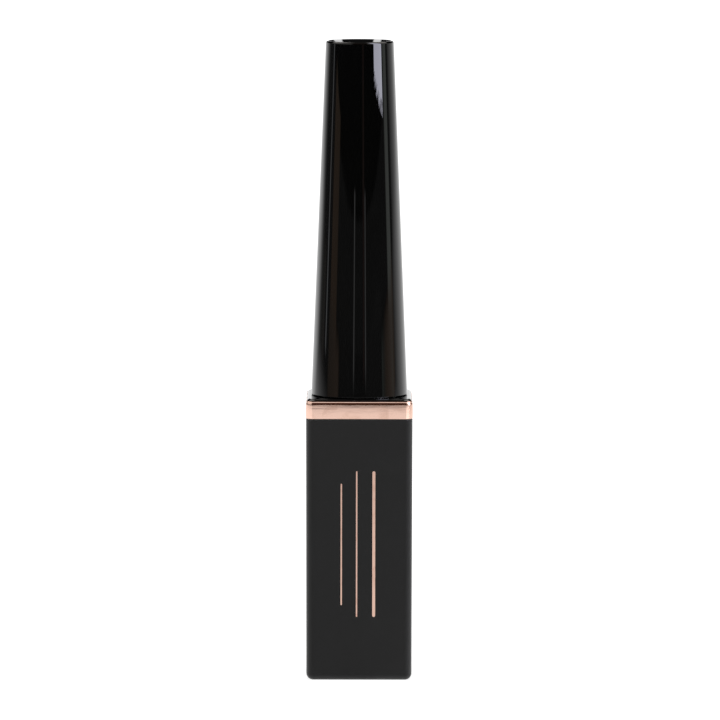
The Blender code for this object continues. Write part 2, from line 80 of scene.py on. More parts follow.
SEAM = 0.08 * MM  # the fine line between stacked pieces
FIT_GAP = 0.12 * MM  # each side of a piece pushed into another
RUNNING_GAP = 0.08 * MM  # each side of a piece that moves in another
THREAD_LEAD = 2.0 * MM  # how far the cap rises in one turn
CASE_WALL = 1.1 * MM
CAP_WALL = 1.1 * MM
CASE_DRAFT = 0.08 * MM  # how far each side leans in by the foot
CASE_CORNER = 1.05 * MM
PLUG_CORNER = 0.5 * MM
VIAL_CONE_DROP = 2.7 * MM  # from the case's rim down to where the vial narrows
VIAL_CONE_HEIGHT = 2.0 * MM
WASHER_PLAY = 0.3 * MM  # inside the bores that slip over the thread
THREAD_REACH = 0.7 * MM  # from the neck's wall to those bores
WIPER_OVERLAP = 0.75 * MM  # how far the wiper's flange lies over the rim
STEM_FLANGE = 0.8 * MM
STEM_RADIUS = 1.25 * MM  # under the flange
STEM_PLUG_RADIUS = 1.95 * MM
STEM_PLUG_LENGTH = 5.2 * MM
THREAD_DEPTH = 0.42 * MM
THREAD_ROOT = 0.36 * MM  # half the thread's width at its foot
THREAD_CREST = 0.16 * MM  # half its width at its crest
THREAD_SUNK = 0.05 * MM  # how far its foot reaches into the wall
THREAD_STEPS = 72  # facets of each turn
THREAD_RUN_OUT = 0.22  # the share of a turn over which each end fades

Edge = bmesh.types.BMEdge
Vert = bmesh.types.BMVert
Socket = bpy.types.NodeSocket
Sockets = bpy.types.bpy_prop_collection
Colour = tuple[float, float, float]
Place = tuple[float, float, float]
Span = tuple[float, float]
Stops = Sequence[tuple[float, Colour]]  # a direction in degrees, and the light that comes from there


def grey(level: float) -> Colour:
    """A colour without a tint."""
    return (level, level, level)


def new_object(name: str, data: bpy.types.ID) -> bpy.types.Object:
    """Makes an object at the origin and adds it to the scene.

    Args:
        name: The object's name.
        data: Its mesh, lamp or camera.

    Returns:
        The object.
    """
    obj = bpy.data.objects.new(name, data)
    bpy.context.scene.collection.objects.link(obj)
    return obj


def rise(edge: Edge) -> float:
    """How far an edge rises."""
    return abs(edge.verts[0].co.z - edge.verts[1].co.z)


class Body(Enum):
    """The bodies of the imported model."""

    BOTTLE = "bottle"
    BALL = "ball"
    SEAL = "seal"
    APPLICATOR = "applicator"
    CAP = "cap"


class Side(Enum):
    """Which way a screw thread stands out from its wall."""

    OUTWARD = 1
    INWARD = -1


@dataclass(frozen=True)
class Corner:
    """A corner of a turned outline, rounded by its fillet."""

    radius: float
    height: float
    fillet: float = 0.0


@dataclass(frozen=True)
class Block:
    """An upright square block with rounded corners."""

    foot: float
    top: float
    foot_width: float
    top_width: float
    corner: float
    foot_fillet: float = 0.0
    top_fillet: float = 0.0


class Former:
    """Shapes one piece with mesh operators."""

    def __init__(self, corner_steps: int = 12, arc_steps: int = 4) -> None:
        """Starts an empty form.

        Args:
            corner_steps: Facets of each upright corner of a square block.
            arc_steps: Facets of each fillet.
        """
        self.form = bmesh.new()
        self.corner_steps = corner_steps
        self.arc_steps = arc_steps

    def bevel(self, edges: Sequence[Edge], width: float, segments: int) -> None:
        """Rounds edges."""
        bmesh.ops.bevel(self.form, geom=list(edges), offset=width, offset_type="OFFSET", segments=segments, profile=0.5,
                        affect="EDGES", clamp_overlap=True, material=-1)

    def turn(self, corners: Sequence[Corner], steps: int = 96) -> Former:
        """Spins an outline about the axis.

        An outline that starts and ends on the axis stays open, and any other is closed into a ring.

        Args:
            corners: The outline's corners, in order.
            steps: Facets round the axis.

        Returns:
            This former.
        """
        verts = [self.form.verts.new((corner.radius, 0.0, corner.height)) for corner in corners]
        closed = corners[0].radius > 0
        ends = verts[1:] + verts[:1] if closed else verts[1:]
        edges = [self.form.edges.new(pair) for pair in zip(verts, ends)]
        bmesh.ops.spin(self.form, geom=verts + edges, cent=(0, 0, 0), axis=(0, 0, 1), dvec=(0, 0, 0), angle=FULL_TURN,
                       space=Matrix.Identity(4), steps=steps, use_merge=True)
        bmesh.ops.remove_doubles(self.form, verts=self.form.verts, dist=WELD)
        for corner in corners:
            if corner.fillet:
                self.bevel(self.ring_edges(corner), corner.fillet, self.arc_steps)
        return self

    def ring_edges(self, corner: Corner) -> list[Edge]:
        """Finds the ring that a corner of the outline became.

        Args:
            corner: The corner.

        Returns:
            The ring's edges.
        """
        return [edge for edge in self.form.edges
                if all(abs(vert.co.xy.length - corner.radius) < WELD and abs(vert.co.z - corner.height) < WELD
                       for vert in edge.verts)]

    def block(self, shape: Block) -> set[Vert]:
        """Adds a square block.

        Args:
            shape: The block's sizes.

        Returns:
            The block's vertices.
        """
        before = set(self.form.verts)
        for vert in bmesh.ops.create_cube(self.form, size=1.0)["verts"]:
            upper = vert.co.z > 0
            half = (shape.top_width if upper else shape.foot_width) / 2
            vert.co = (math.copysign(half, vert.co.x), math.copysign(half, vert.co.y),
                       shape.top if upper else shape.foot)
        mine = [edge for edge in self.form.edges if edge.verts[0] not in before]
        uprights = [edge for edge in mine if rise(edge) > (shape.top - shape.foot) / 2]
        self.bevel(uprights, shape.corner, self.corner_steps)
        for height, fillet in ((shape.foot, shape.foot_fillet), (shape.top, shape.top_fillet)):
            if fillet:
                self.bevel([edge for edge in self.level_edges(height) if edge.verts[0] not in before], fillet,
                           self.arc_steps)
        return set(self.form.verts) - before

    def level_edges(self, height: float) -> list[Edge]:
        """The edges that lie at a height."""
        return [edge for edge in self.form.edges if all(abs(vert.co.z - height) < WELD for vert in edge.verts)]

    def cut_sides(self, cuts: int) -> None:
        """Cuts every rising edge, which adds level rows."""
        sides = [edge for edge in self.form.edges if rise(edge) > WELD]
        bmesh.ops.subdivide_edges(self.form, edges=sides, cuts=cuts, use_grid_fill=True)

    def open_end(self, verts: set[Vert], height: float) -> list[Edge]:
        """Takes off the flat end face of a block.

        Args:
            verts: The block's vertices.
            height: Where the end lies.

        Returns:
            The edges round the opening.
        """
        ends = [face for face in self.form.faces
                if all(vert in verts and abs(vert.co.z - height) < WELD for vert in face.verts)]
        edges = [edge for face in ends for edge in face.edges]
        bmesh.ops.delete(self.form, geom=ends, context="FACES_ONLY")
        return edges

    def bridge(self, *loops: list[Edge]) -> None:
        """Joins the rims of two openings."""
        bmesh.ops.bridge_loops(self.form, edges=[edge for loop in loops for edge in loop])

    def circle(self, radius: float, height: float, count: int) -> list[Edge]:
        """Adds a level ring of edges.

        Args:
            radius: The ring's radius.
            height: Where it lies.
            count: How many edges it has.

        Returns:
            The edges.
        """
        place = Matrix.Translation((0, 0, height)) @ Matrix.Rotation(math.pi / count, 4, "Z")
        made = bmesh.ops.create_circle(self.form, cap_ends=False, segments=count, radius=radius, matrix=place)
        return list({edge for vert in made["verts"] for edge in vert.link_edges})

    def fin(self, inner: float, outer_foot: float, outer_top: float, foot: float, top: float, thickness: float,
            angle: float) -> None:
        """Adds a flat upright fin that stands out from the axis, whose outer edge may lean.

        Args:
            inner: Where it starts, out from the axis.
            outer_foot: How far out its foot reaches.
            outer_top: How far out its top reaches.
            foot: The height of its foot.
            top: The height of its top.
            thickness: Its thickness.
            angle: Its direction about the axis.
        """
        made = bmesh.ops.create_cube(self.form, size=1.0)["verts"]
        for vert in made:
            upper, outer = vert.co.z > 0, vert.co.x > 0
            reach = (outer_top if upper else outer_foot) if outer else inner
            vert.co = (reach, math.copysign(thickness / 2, vert.co.y), top if upper else foot)
        bmesh.ops.rotate(self.form, verts=made, cent=(0, 0, 0), matrix=Matrix.Rotation(angle, 3, "Z"))

    def thread(self, wall: float, foot: float, turns: float, side: Side) -> None:
        """Adds a screw thread that runs out smoothly at both ends.

        Args:
            wall: Radius of the wall that carries the thread.
            foot: Height of the thread's first turn.
            turns: How many times it goes round.
            side: Which way it stands out.
        """
        outline = ((-THREAD_SUNK, -THREAD_ROOT), (THREAD_DEPTH, -THREAD_CREST), (THREAD_DEPTH, THREAD_CREST),
                   (-THREAD_SUNK, THREAD_ROOT))
        verts = [self.form.verts.new((wall + side.value * out, 0.0, foot + up)) for out, up in outline]
        face = self.form.faces.new(verts)
        steps = round(turns * THREAD_STEPS)
        before = set(self.form.verts) - set(verts)
        bmesh.ops.spin(self.form, geom=[face], cent=(0, 0, 0), axis=(0, 0, 1), dvec=(0, 0, THREAD_LEAD / THREAD_STEPS),
                       angle=FULL_TURN * steps / THREAD_STEPS, space=Matrix.Identity(4), steps=steps)
        for vert in set(self.form.verts) - before:
            done = (vert.co.z - foot) / THREAD_LEAD
            fade = min(1.0, max(0.0, done) / THREAD_RUN_OUT, max(0.0, turns - done) / THREAD_RUN_OUT)
            radius = vert.co.xy.length
            reach = max(0.0, side.value * (radius - wall)) * (1 - fade)
            vert.co.xy *= (radius - side.value * reach) / radius

    def finish(self, name: str) -> bpy.types.Object:
        """Closes the form and makes it an object at the origin.

        Args:
            name: The object's name.

        Returns:
            The object.
        """
        bmesh.ops.recalc_face_normals(self.form, faces=self.form.faces)
        mesh = bpy.data.meshes.new(name)
        self.form.to_mesh(mesh)
        self.form.free()
        mesh.shade_smooth()
        mesh.set_sharp_from_angle(angle=SMOOTH_ANGLE)
        obj = new_object(name, mesh)
        weighted = obj.modifiers.new("Weighted Normal", "WEIGHTED_NORMAL")
        weighted.keep_sharp = True
        return obj


class Nodes:
    """Adds nodes to a tree and joins them."""

    def __init__(self, tree: bpy.types.NodeTree) -> None:
        """Takes the tree that the nodes go into."""
        self.tree = tree

    @classmethod
    def fresh(cls, owner: bpy.types.Material | bpy.types.World) -> Nodes:
        """Empties the tree of a new material or world.

        Args:
            owner: The material or world.

        Returns:
            Its tree, ready for nodes.
        """
        owner.use_nodes = True
        owner.node_tree.nodes.clear()
        return cls(owner.node_tree)

    def add(self, kind: str, inputs: dict | None = None, **settings: object) -> bpy.types.Node:
        """Adds a node.

        Args:
            kind: The node's type, without its leading ShaderNode.
            inputs: Values or sockets for its inputs, by name or index.
            settings: Its own properties.

        Returns:
            The node.
        """
        node = self.tree.nodes.new(kind if kind.startswith("NodeGroup") else "ShaderNode" + kind)
        for key, value in settings.items():
            setattr(node, key, value)
        for key, value in (inputs or {}).items():
            if isinstance(value, Socket):
                self.tree.links.new(value, node.inputs[key])
            else:
                node.inputs[key].default_value = value
        return node

    def join(self, source: Socket, target: Socket) -> None:
        """Links two sockets."""
        self.tree.links.new(source, target)

    def group(self, tree: bpy.types.NodeTree, **inputs: object) -> Socket:
        """Places a shared group with its own values or sockets, and returns what it puts out."""
        return self.add("Group", inputs, node_tree=tree).outputs[0]

    def math(self, operation: str, *values: object) -> Socket:
        """The result of a calculation on values or sockets."""
        return self.add("Math", dict(enumerate(values)), operation=operation).outputs[0]

    def mix(self, share: object, low: object, high: object, how: str = "MIX") -> Socket:
        """Mixes two colours, each a colour or a socket."""
        low, high = ((*item, 1.0) if isinstance(item, tuple) else item for item in (low, high))
        return self.add("Mix", {0: share, 6: low, 7: high}, data_type="RGBA", blend_type=how).outputs[2]

    def ramp(self, value: object, start: float, end: float, low: float = 0.0, high: float = 1.0) -> Socket:
        """A value carried smoothly from one range to another."""
        node = self.add("MapRange", {0: value, 1: start, 2: end, 3: low, 4: high}, interpolation_type="SMOOTHSTEP")
        return node.outputs[0]


class Effects:
    """The shader groups that several finishes share, each built once."""

    SOCKETS = {float: "NodeSocketFloat", Vector: "NodeSocketVector"}

    def __init__(self) -> None:
        """Builds the groups."""
        self.grain = self.group("fine_grain", self.build_grain, Size=0.2 * MM, Detail=3.0)
        self.waves = self.group("moulded_waves", self.build_waves, Size=4.0 * MM, Stretch=Vector((1, 1, 1)))
        self.smudge = self.group("handling_smudges", self.build_smudge, Size=6.0 * MM, Amount=0.5)
        self.stain = self.group("ink_stain", self.build_stain, Clean=0.0, Stained=1.0, Size=1.5 * MM, Ragged=1.0 * MM)

    def group(self, name: str, build: Callable[[Nodes, Sockets], Socket], **inputs: object) -> bpy.types.NodeTree:
        """Makes a group with named inputs and one output, Value.

        Args:
            name: The group's name.
            build: What fills it, and returns the socket that it puts out.
            inputs: Its inputs and their first values.

        Returns:
            The group.
        """
        tree = bpy.data.node_groups.new(name, "ShaderNodeTree")
        tree.interface.new_socket("Vector", in_out="INPUT", socket_type="NodeSocketVector")
        for key, value in inputs.items():
            socket = tree.interface.new_socket(key, in_out="INPUT", socket_type=self.SOCKETS[type(value)])
            socket.default_value = value
        tree.interface.new_socket("Value", in_out="OUTPUT", socket_type="NodeSocketFloat")
        nodes = Nodes(tree)
        given = nodes.add("NodeGroupInput").outputs
        nodes.add("NodeGroupOutput", {0: build(nodes, given)})
        return tree

    @staticmethod
    def noise(nodes: Nodes, vector: Socket, size: Socket, detail: object, distortion: float = 0.0) -> Socket:
        """Noise whose lumps have a real size."""
        return nodes.add("TexNoise", {"Vector": vector, "Scale": nodes.math("DIVIDE", 1.0, size), "Detail": detail,
                                      "Distortion": distortion}).outputs[0]

    def build_grain(self, nodes: Nodes, given: Sockets) -> Socket:
        """Even, fine noise, the tooth of a coated or moulded surface."""
        return self.noise(nodes, given["Vector"], given["Size"], given["Detail"])

    def build_waves(self, nodes: Nodes, given: Sockets) -> Socket:
        """Broad, slow waves, which may be drawn out one way."""
        drawn = nodes.add("VectorMath", {0: given["Vector"], 1: given["Stretch"]}, operation="MULTIPLY")
        return self.noise(nodes, drawn.outputs[0], given["Size"], detail=1.5, distortion=0.3)

    def build_smudge(self, nodes: Nodes, given: Sockets) -> Socket:
        """Patches where the surface has been handled, from 0 to the amount."""
        patches = self.noise(nodes, given["Vector"], given["Size"], detail=4.0, distortion=0.8)
        return nodes.math("MULTIPLY", nodes.ramp(patches, start=0.45, end=0.75), given["Amount"])

    def build_stain(self, nodes: Nodes, given: Sockets) -> Socket:
        """How much ink clings at a height, from none at Clean to all at Stained, with a ragged edge.

        Args:
            nodes: The group's nodes.
            given: The group's inputs.

        Returns:
            The share that is covered.
        """
        height = nodes.add("SeparateXYZ", {0: given["Vector"]}).outputs[2]
        lumps = self.noise(nodes, given["Vector"], given["Size"], detail=3.0, distortion=1.2)
        shift = nodes.math("MULTIPLY", nodes.math("SUBTRACT", lumps, 0.5), given["Ragged"])
        return nodes.ramp(nodes.math("ADD", height, shift), given["Clean"], given["Stained"])


@dataclass(frozen=True)
class Finish:
    """A surface finish: its colour, and how it varies at real sizes.

    Attributes:
        slot: The record's material slot.
        colour: The main colour.
        tint: The colour that patches lean to.
        roughness: The roughness of a clean patch.
        smudge: How much handling adds to the roughness.
        patch: Size of the patches.
        metallic: 1 for metal.
        grain: Size of the fine grain.
        grain_depth: Its height.
        wave: Size of the slow waves.
        wave_depth: Their height.
        stretch: How the waves are drawn out.
        specular: The specular level, 0.5 for common plastics.
        sheen: How much a soft surface glows at a glancing angle.
    """

    slot: str
    colour: Colour
    tint: Colour
    roughness: float
    smudge: float = 0.05
    patch: float = 5.0 * MM
    metallic: float = 0.0
    grain: float = 0.2 * MM
    grain_depth: float = 0.002 * MM
    wave: float = 5.0 * MM
    wave_depth: float = 0.0
    stretch: Place = (1.0, 1.0, 1.0)
    specular: float = 0.5
    sheen: float = 0.0

    def make(self, effects: Effects) -> bpy.types.Material:
        """Builds the material.

        Args:
            effects: The shared groups.

        Returns:
            The material.
        """
        material = bpy.data.materials.new(self.slot)
        material.use_nodes = True
        nodes = Nodes(material.node_tree)
        shader = material.node_tree.nodes["Principled BSDF"]
        shader.inputs["Metallic"].default_value = self.metallic
        shader.inputs["Specular IOR Level"].default_value = self.specular
        shader.inputs["Sheen Weight"].default_value = self.sheen
        place = nodes.add("TexCoord").outputs["Object"]
        patches = nodes.group(effects.smudge, Vector=place, Size=self.patch, Amount=1.0)
        nodes.join(nodes.mix(patches, self.colour, self.tint), shader.inputs["Base Color"])
        nodes.join(nodes.math("MULTIPLY_ADD", patches, self.smudge, self.roughness), shader.inputs["Roughness"])
        grain = nodes.group(effects.grain, Vector=place, Size=self.grain)
        bump = nodes.add("Bump", {"Distance": self.grain_depth, "Height": grain})
        if self.wave_depth:
            waves = nodes.group(effects.waves, Vector=place, Size=self.wave, Stretch=Vector(self.stretch))
            bump = nodes.add("Bump", {"Distance": self.wave_depth, "Height": waves, "Normal": bump.outputs[0]})
        nodes.join(bump.outputs[0], shader.inputs["Normal"])
        self.dress(nodes, shader, effects, place)
        return material

    def dress(self, nodes: Nodes, shader: bpy.types.Node, effects: Effects, place: Socket) -> None:
        """Adds what only this finish has."""


@dataclass(frozen=True)
class Inked(Finish):
    """A finish that ink clings to, more towards one end.

    Attributes:
        clean: The height at which the surface is clean.
        stained: The height at which it is covered.
        ink: The ink's colour.
        wet: The roughness of wet ink.
        clearness: How far light passes through the clean surface.
    """

    clean: float = 1.0
    stained: float = 0.0
    ink: Colour = (0.006, 0.005, 0.005)
    wet: float = 0.12
    clearness: float = 0.0

    def dress(self, nodes: Nodes, shader: bpy.types.Node, effects: Effects, place: Socket) -> None:
        """Covers the stained end with ink.

        Args:
            nodes: The material's nodes.
            shader: Its shader.
            effects: The shared groups.
            place: Where on the piece, in its own coordinates.
        """
        shader.inputs["Transmission Weight"].default_value = self.clearness
        covered = nodes.group(effects.stain, Vector=place, Clean=self.clean, Stained=self.stained)
        colour = shader.inputs["Base Color"].links[0].from_socket
        nodes.join(nodes.mix(covered, colour, self.ink), shader.inputs["Base Color"])
        rough = shader.inputs["Roughness"].links[0].from_socket
        mixed = nodes.add("Mix", {0: covered, 2: rough, 3: self.wet}, data_type="FLOAT").outputs[0]
        nodes.join(mixed, shader.inputs["Roughness"])


@dataclass(frozen=True)
class Foam(Finish):
    """Closed-cell foam, with its cells as small dimples.

    Attributes:
        cell: Size of a cell.
        cell_depth: How deep a cut cell is.
    """

    cell: float = 0.16 * MM
    cell_depth: float = 0.04 * MM

    def dress(self, nodes: Nodes, shader: bpy.types.Node, effects: Effects, place: Socket) -> None:
        """Presses the cells into the surface.

        Args:
            nodes: The material's nodes.
            shader: Its shader.
            effects: The shared groups.
            place: Where on the piece, in its own coordinates.
        """
        cells = nodes.add("TexVoronoi", {"Vector": place, "Scale": 1 / self.cell}).outputs["Distance"]
        below = shader.inputs["Normal"].links[0].from_socket
        bump = nodes.add("Bump", {"Distance": self.cell_depth, "Height": cells, "Normal": below})
        nodes.join(bump.outputs[0], shader.inputs["Normal"])


@dataclass(frozen=True)
class Extent:
    """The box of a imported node, from its low to its high corner."""

    low: Vector
    high: Vector

    @property
    def foot(self) -> float:
        """Its lowest height."""
        return self.low.z

    @property
    def top(self) -> float:
        """Its greatest height."""
        return self.high.z

    @property
    def radius(self) -> float:
        """How far it comes out from the axis."""
        return self.high.x

    @property
    def width(self) -> float:
        """Its width across the axis."""
        return 2 * self.radius


@dataclass(frozen=True)
class Layout:
    """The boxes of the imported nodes, and the places and sizes that follow from them."""

    outer_case: Extent
    collar: Extent
    shoulder: Extent
    inner_vial: Extent
    wiper: Extent
    mixing_ball: Extent
    seal_washer: Extent
    stem: Extent
    brush_ferrule: Extent
    brush_tuft: Extent
    cap_shell: Extent
    cap_insert: Extent

    @classmethod
    def from_frame(cls) -> Layout:
        """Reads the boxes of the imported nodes."""
        boxes = {obj["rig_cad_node"]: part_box(obj["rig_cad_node"]) for obj in bpy.data.objects if "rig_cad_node" in obj}
        return cls(**{node: Extent(*box) for node, box in boxes.items()})

    @property
    def rim(self) -> float:
        """The neck's upper edge."""
        return self.inner_vial.top

    @property
    def plate_foot(self) -> float:
        """Where the shoulder plate starts."""
        return self.collar.top + SEAM

    @property
    def plate_top(self) -> float:
        """The shoulder plate's upper face."""
        return self.cap_shell.foot - SEAM

    @property
    def plug_width(self) -> float:
        """Width of the shoulder plate's square plug."""
        return self.outer_case.width - 2 * (CASE_WALL + FIT_GAP)

    @property
    def pass_radius(self) -> float:
        """Radius of every bore that slips over the thread."""
        return self.seal_washer.radius + WASHER_PLAY

    @property
    def neck_radius(self) -> float:
        """The neck's outside, without its thread."""
        return self.pass_radius - THREAD_REACH

    @property
    def bore_radius(self) -> float:
        """The neck's inside."""
        return self.wiper.radius - WIPER_OVERLAP

    @property
    def cone_foot(self) -> float:
        """Where the vial starts to narrow."""
        return self.outer_case.top - VIAL_CONE_DROP

    @property
    def cone_slope(self) -> float:
        """How far the vial's shoulder comes in for each length that it rises."""
        return (self.inner_vial.radius - self.neck_radius) / VIAL_CONE_HEIGHT

    @property
    def ceiling(self) -> float:
        """The roof of the insert's bore."""
        return self.seal_washer.top + SEAM + STEM_FLANGE + SEAM


class Workshop:
    """Dresses the pieces and sets them on their bodies."""

    def __init__(self) -> None:
        """Builds the shared groups and starts without materials."""
        self.effects = Effects()
        self.materials: dict[Finish, bpy.types.Material] = {}

    def add(self, former: Former, name: str, body: Body, finish: Finish, *nodes: str) -> None:
        """Finishes a piece, dresses it and sets it on its body.

        Args:
            former: What shaped the piece.
            name: The piece's name.
            body: The body that carries it.
            finish: Its finish.
            nodes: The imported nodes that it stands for.
        """
        obj = former.finish(name)
        if finish not in self.materials:
            self.materials[finish] = finish.make(self.effects)
        obj.data.materials.append(self.materials[finish])
        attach(obj, body.value)
        if nodes:
            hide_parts(*nodes)
        log.info("%s: %d faces on %s", obj.name, len(obj.data.polygons), body.value)


SOFT_TOUCH = Finish("matte_black", grey(0.0053), grey(0.0063), 0.56, smudge=0.04, patch=9 * MM, grain=0.11 * MM,
                    grain_depth=0.0012 * MM, specular=0.1, sheen=0.5)
PIANO_BLACK = Finish("gloss_black", grey(0.0012), grey(0.0018), 0.006, smudge=0.008, patch=11 * MM, grain=0.6 * MM,
                     grain_depth=0.00001 * MM, wave=9 * MM, wave_depth=0.012 * MM, stretch=(1.0, 1.0, 0.45))
ROSE_GOLD = Finish("rose_gold", (0.86, 0.585, 0.48), (0.80, 0.52, 0.41), 0.11, smudge=0.06, patch=2.5 * MM,
                   metallic=1.0, grain=0.12 * MM, grain_depth=0.0003 * MM, wave=0.55 * MM, wave_depth=0.0042 * MM,
                   stretch=(0.2, 0.2, 1.0))
FOIL = Finish("rose_gold", (0.93, 0.62, 0.50), (0.86, 0.54, 0.42), 0.3, smudge=0.1, patch=1.2 * MM, metallic=1.0,
              grain=0.09 * MM, grain_depth=0.002 * MM)
MOULDED_BLACK = Finish("moulded_black", (0.012, 0.012, 0.0125), grey(0.018), 0.36, smudge=0.12, patch=3 * MM,
                       grain=0.15 * MM, grain_depth=0.002 * MM)
STEEL = Finish("steel", (0.62, 0.62, 0.63), (0.5, 0.5, 0.51), 0.2, smudge=0.12, patch=1.2 * MM, metallic=1.0,
               grain=0.08 * MM, grain_depth=0.0008 * MM)
SEAL_FOAM = Foam("seal_foam", (0.80, 0.79, 0.76), (0.62, 0.60, 0.57), 0.8, smudge=0.05, patch=1.5 * MM)


@dataclass
class SubAssembly:
    """Pieces that are made together.

    Attributes:
        layout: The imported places.
        shop: The workshop that dresses the pieces.
    """

    layout: Layout
    shop: Workshop


@dataclass
class Case(SubAssembly):
    """The square outer case and the plain foil lines on its front.

    Attributes:
        floor: Thickness of the bottom.
        foot_share: The foot's fillet as a share of the upright corners' radius.
        rim_fillet: Rounding of the upper edge.
        recess_depth: Depth of the hollow under the foot.
        recess_border: Width of the border that the case stands on, with its fillet.
        recess_corner: Corner radius of the hollow.
        foil_height: How far the foil stands out.
        foil_round: The radius of a line's round ends as a share of its width.
        foil_steps: Facets of each quarter of those ends.
        lines: Each foil line's place across the front, foot, top and width.
    """

    floor: float = 1.2 * MM
    foot_share: float = 0.9
    rim_fillet: float = 0.06 * MM
    recess_depth: float = 0.25 * MM
    recess_border: float = 2.1 * MM
    recess_corner: float = 1.2 * MM
    foil_height: float = 0.012 * MM
    foil_round: float = 0.49
    foil_steps: int = 6
    lines: Sequence[tuple[float, float, float, float]] = (
        (2.1 * MM, 9.2 * MM, 30.2 * MM, 0.42 * MM),
        (-0.35 * MM, 9.2 * MM, 30.2 * MM, 0.2 * MM),
        (-2.55 * MM, 10.9 * MM, 28.4 * MM, 0.2 * MM),
    )

    def build(self) -> None:
        """Makes the case and its foil lines."""
        lay = self.layout
        foot_width = lay.outer_case.width - 2 * CASE_DRAFT
        lean = 2 * CASE_DRAFT / lay.outer_case.top
        former = Former(arc_steps=6)
        outside = former.block(Block(0.0, lay.outer_case.top, foot_width, lay.outer_case.width, CASE_CORNER,
                                     CASE_CORNER * self.foot_share, self.rim_fillet))
        bore = former.block(Block(self.floor, lay.outer_case.top, foot_width + lean * self.floor - 2 * CASE_WALL,
                                  lay.outer_case.width - 2 * CASE_WALL, PLUG_CORNER + FIT_GAP))
        recess_width = foot_width - 2 * self.recess_border
        recess = former.block(Block(0.0, self.recess_depth, recess_width, recess_width, self.recess_corner))
        former.bridge(former.open_end(outside, lay.outer_case.top), former.open_end(bore, lay.outer_case.top))
        former.bridge(former.open_end(outside, 0.0), former.open_end(recess, 0.0))
        self.shop.add(former, "soft_touch_case", Body.BOTTLE, SOFT_TOUCH, "outer_case")
        for number, line in enumerate(self.lines, start=1):
            self.build_line(f"foil_line_{number}", *line, lean)

    def build_line(self, name: str, across: float, foot: float, top: float, width: float, lean: float) -> None:
        """Makes one foil line, which lies on the leaning front and has round ends.

        Args:
            name: The line's name.
            across: Its place across the front.
            foot: The height of its lower end.
            top: The height of its upper end.
            width: Its width.
            lean: How much the case widens for each length that it rises.
        """
        former = Former()
        face = -(self.layout.outer_case.width / 2 - CASE_DRAFT)
        for vert in bmesh.ops.create_cube(former.form, size=1.0)["verts"]:
            height = top if vert.co.z > 0 else foot
            surface = face - lean / 2 * height
            vert.co = (across + math.copysign(width / 2, vert.co.x),
                       surface - (self.foil_height if vert.co.y < 0 else -self.foil_height), height)
        depth_edges = [edge for edge in former.form.edges
                       if abs(edge.verts[0].co.y - edge.verts[1].co.y) > self.foil_height
                       and rise(edge) < WELD]
        former.bevel(depth_edges, width * self.foil_round, self.foil_steps)
        self.shop.add(former, name, Body.BOTTLE, FOIL)


@dataclass(frozen=True)
class Arc:
    """A curved stretch of an upright side.

    Attributes:
        radius: Its radius.
        start: How far the surface leans in where the stretch starts, in degrees; 90 faces up.
        end: How far it leans in where the stretch ends.
    """

    radius: float
    start: float
    end: float

    def walk(self, inset: float, height: float, steps: int) -> list[tuple[float, float]]:
        """Follows the stretch up from a place.

        Args:
            inset: How far in it starts.
            height: Where it starts.
            steps: How many rows it takes.

        Returns:
            The inset and height of each row after the first place.
        """
        turned = math.copysign(self.radius, self.end - self.start)
        first = math.radians(self.start)
        tilts = [math.radians(self.start + (self.end - self.start) * step / steps) for step in range(1, steps + 1)]
        return [(inset + turned * (math.cos(first) - math.cos(tilt)),
                 height + turned * (math.sin(tilt) - math.sin(first))) for tilt in tilts]


@dataclass
class TrimRing(SubAssembly):
    """The bright metal ring, whose band bows out a little under a soft shoulder and a small rolled lip."""

    crown: float = 0.011 * MM
    crown_rows: int = 10
    arc_rows: int = 6
    foot_arc: Arc = Arc(0.12 * MM, -90, 0)
    top_arcs: Sequence[Arc] = (Arc(0.6 * MM, 0, 28), Arc(0.1 * MM, 28, -25), Arc(0.12 * MM, -25, 3),
                               Arc(0.07 * MM, 3, 90))

    def outline(self) -> list[tuple[float, float]]:
        """Works out the rows of the outer side from the foot up.

        Returns:
            How far each row comes in, and its height.
        """
        rows = [(self.crown + self.foot_arc.radius, self.layout.collar.foot)]
        rows += self.foot_arc.walk(*rows[-1], self.arc_rows)
        low = rows[-1][1]
        high = self.layout.collar.top - sum(arc.walk(0.0, 0.0, 1)[0][1] for arc in self.top_arcs)
        for step in range(1, self.crown_rows + 1):
            share = 2 * step / self.crown_rows - 1
            rows.append((self.crown * share ** 2, (low + high) / 2 + (high - low) / 2 * share))
        for arc in self.top_arcs:
            rows += arc.walk(*rows[-1], self.arc_rows)
        return rows

    def build(self) -> None:
        """Makes the ring."""
        lay = self.layout
        former = Former(corner_steps=14)
        corner = CASE_CORNER + (lay.collar.width - lay.outer_case.width) / 2
        former.block(Block(lay.collar.foot, lay.collar.top, lay.collar.width, lay.collar.width, corner))
        rows = self.outline()
        former.cut_sides(len(rows) - 2)
        core = lay.collar.width / 2 - corner
        for vert in former.form.verts:
            row = round((vert.co.z - lay.collar.foot) / (lay.collar.top - lay.collar.foot) * (len(rows) - 1))
            inset, height = rows[row]
            nearest = Vector([min(core, max(-core, value)) for value in vert.co.xy])
            vert.co.xy -= (vert.co.xy - nearest).normalized() * inset
            vert.co.z = height
        outside = set(former.form.verts)
        width = lay.plug_width + 2 * FIT_GAP
        opening = former.block(Block(lay.collar.foot, lay.collar.top, width, width, PLUG_CORNER + FIT_GAP))
        for height in (lay.collar.foot, lay.collar.top):
            former.bridge(former.open_end(outside, height), former.open_end(opening, height))
        self.shop.add(former, "rose_gold_ring", Body.BOTTLE, ROSE_GOLD, "collar")


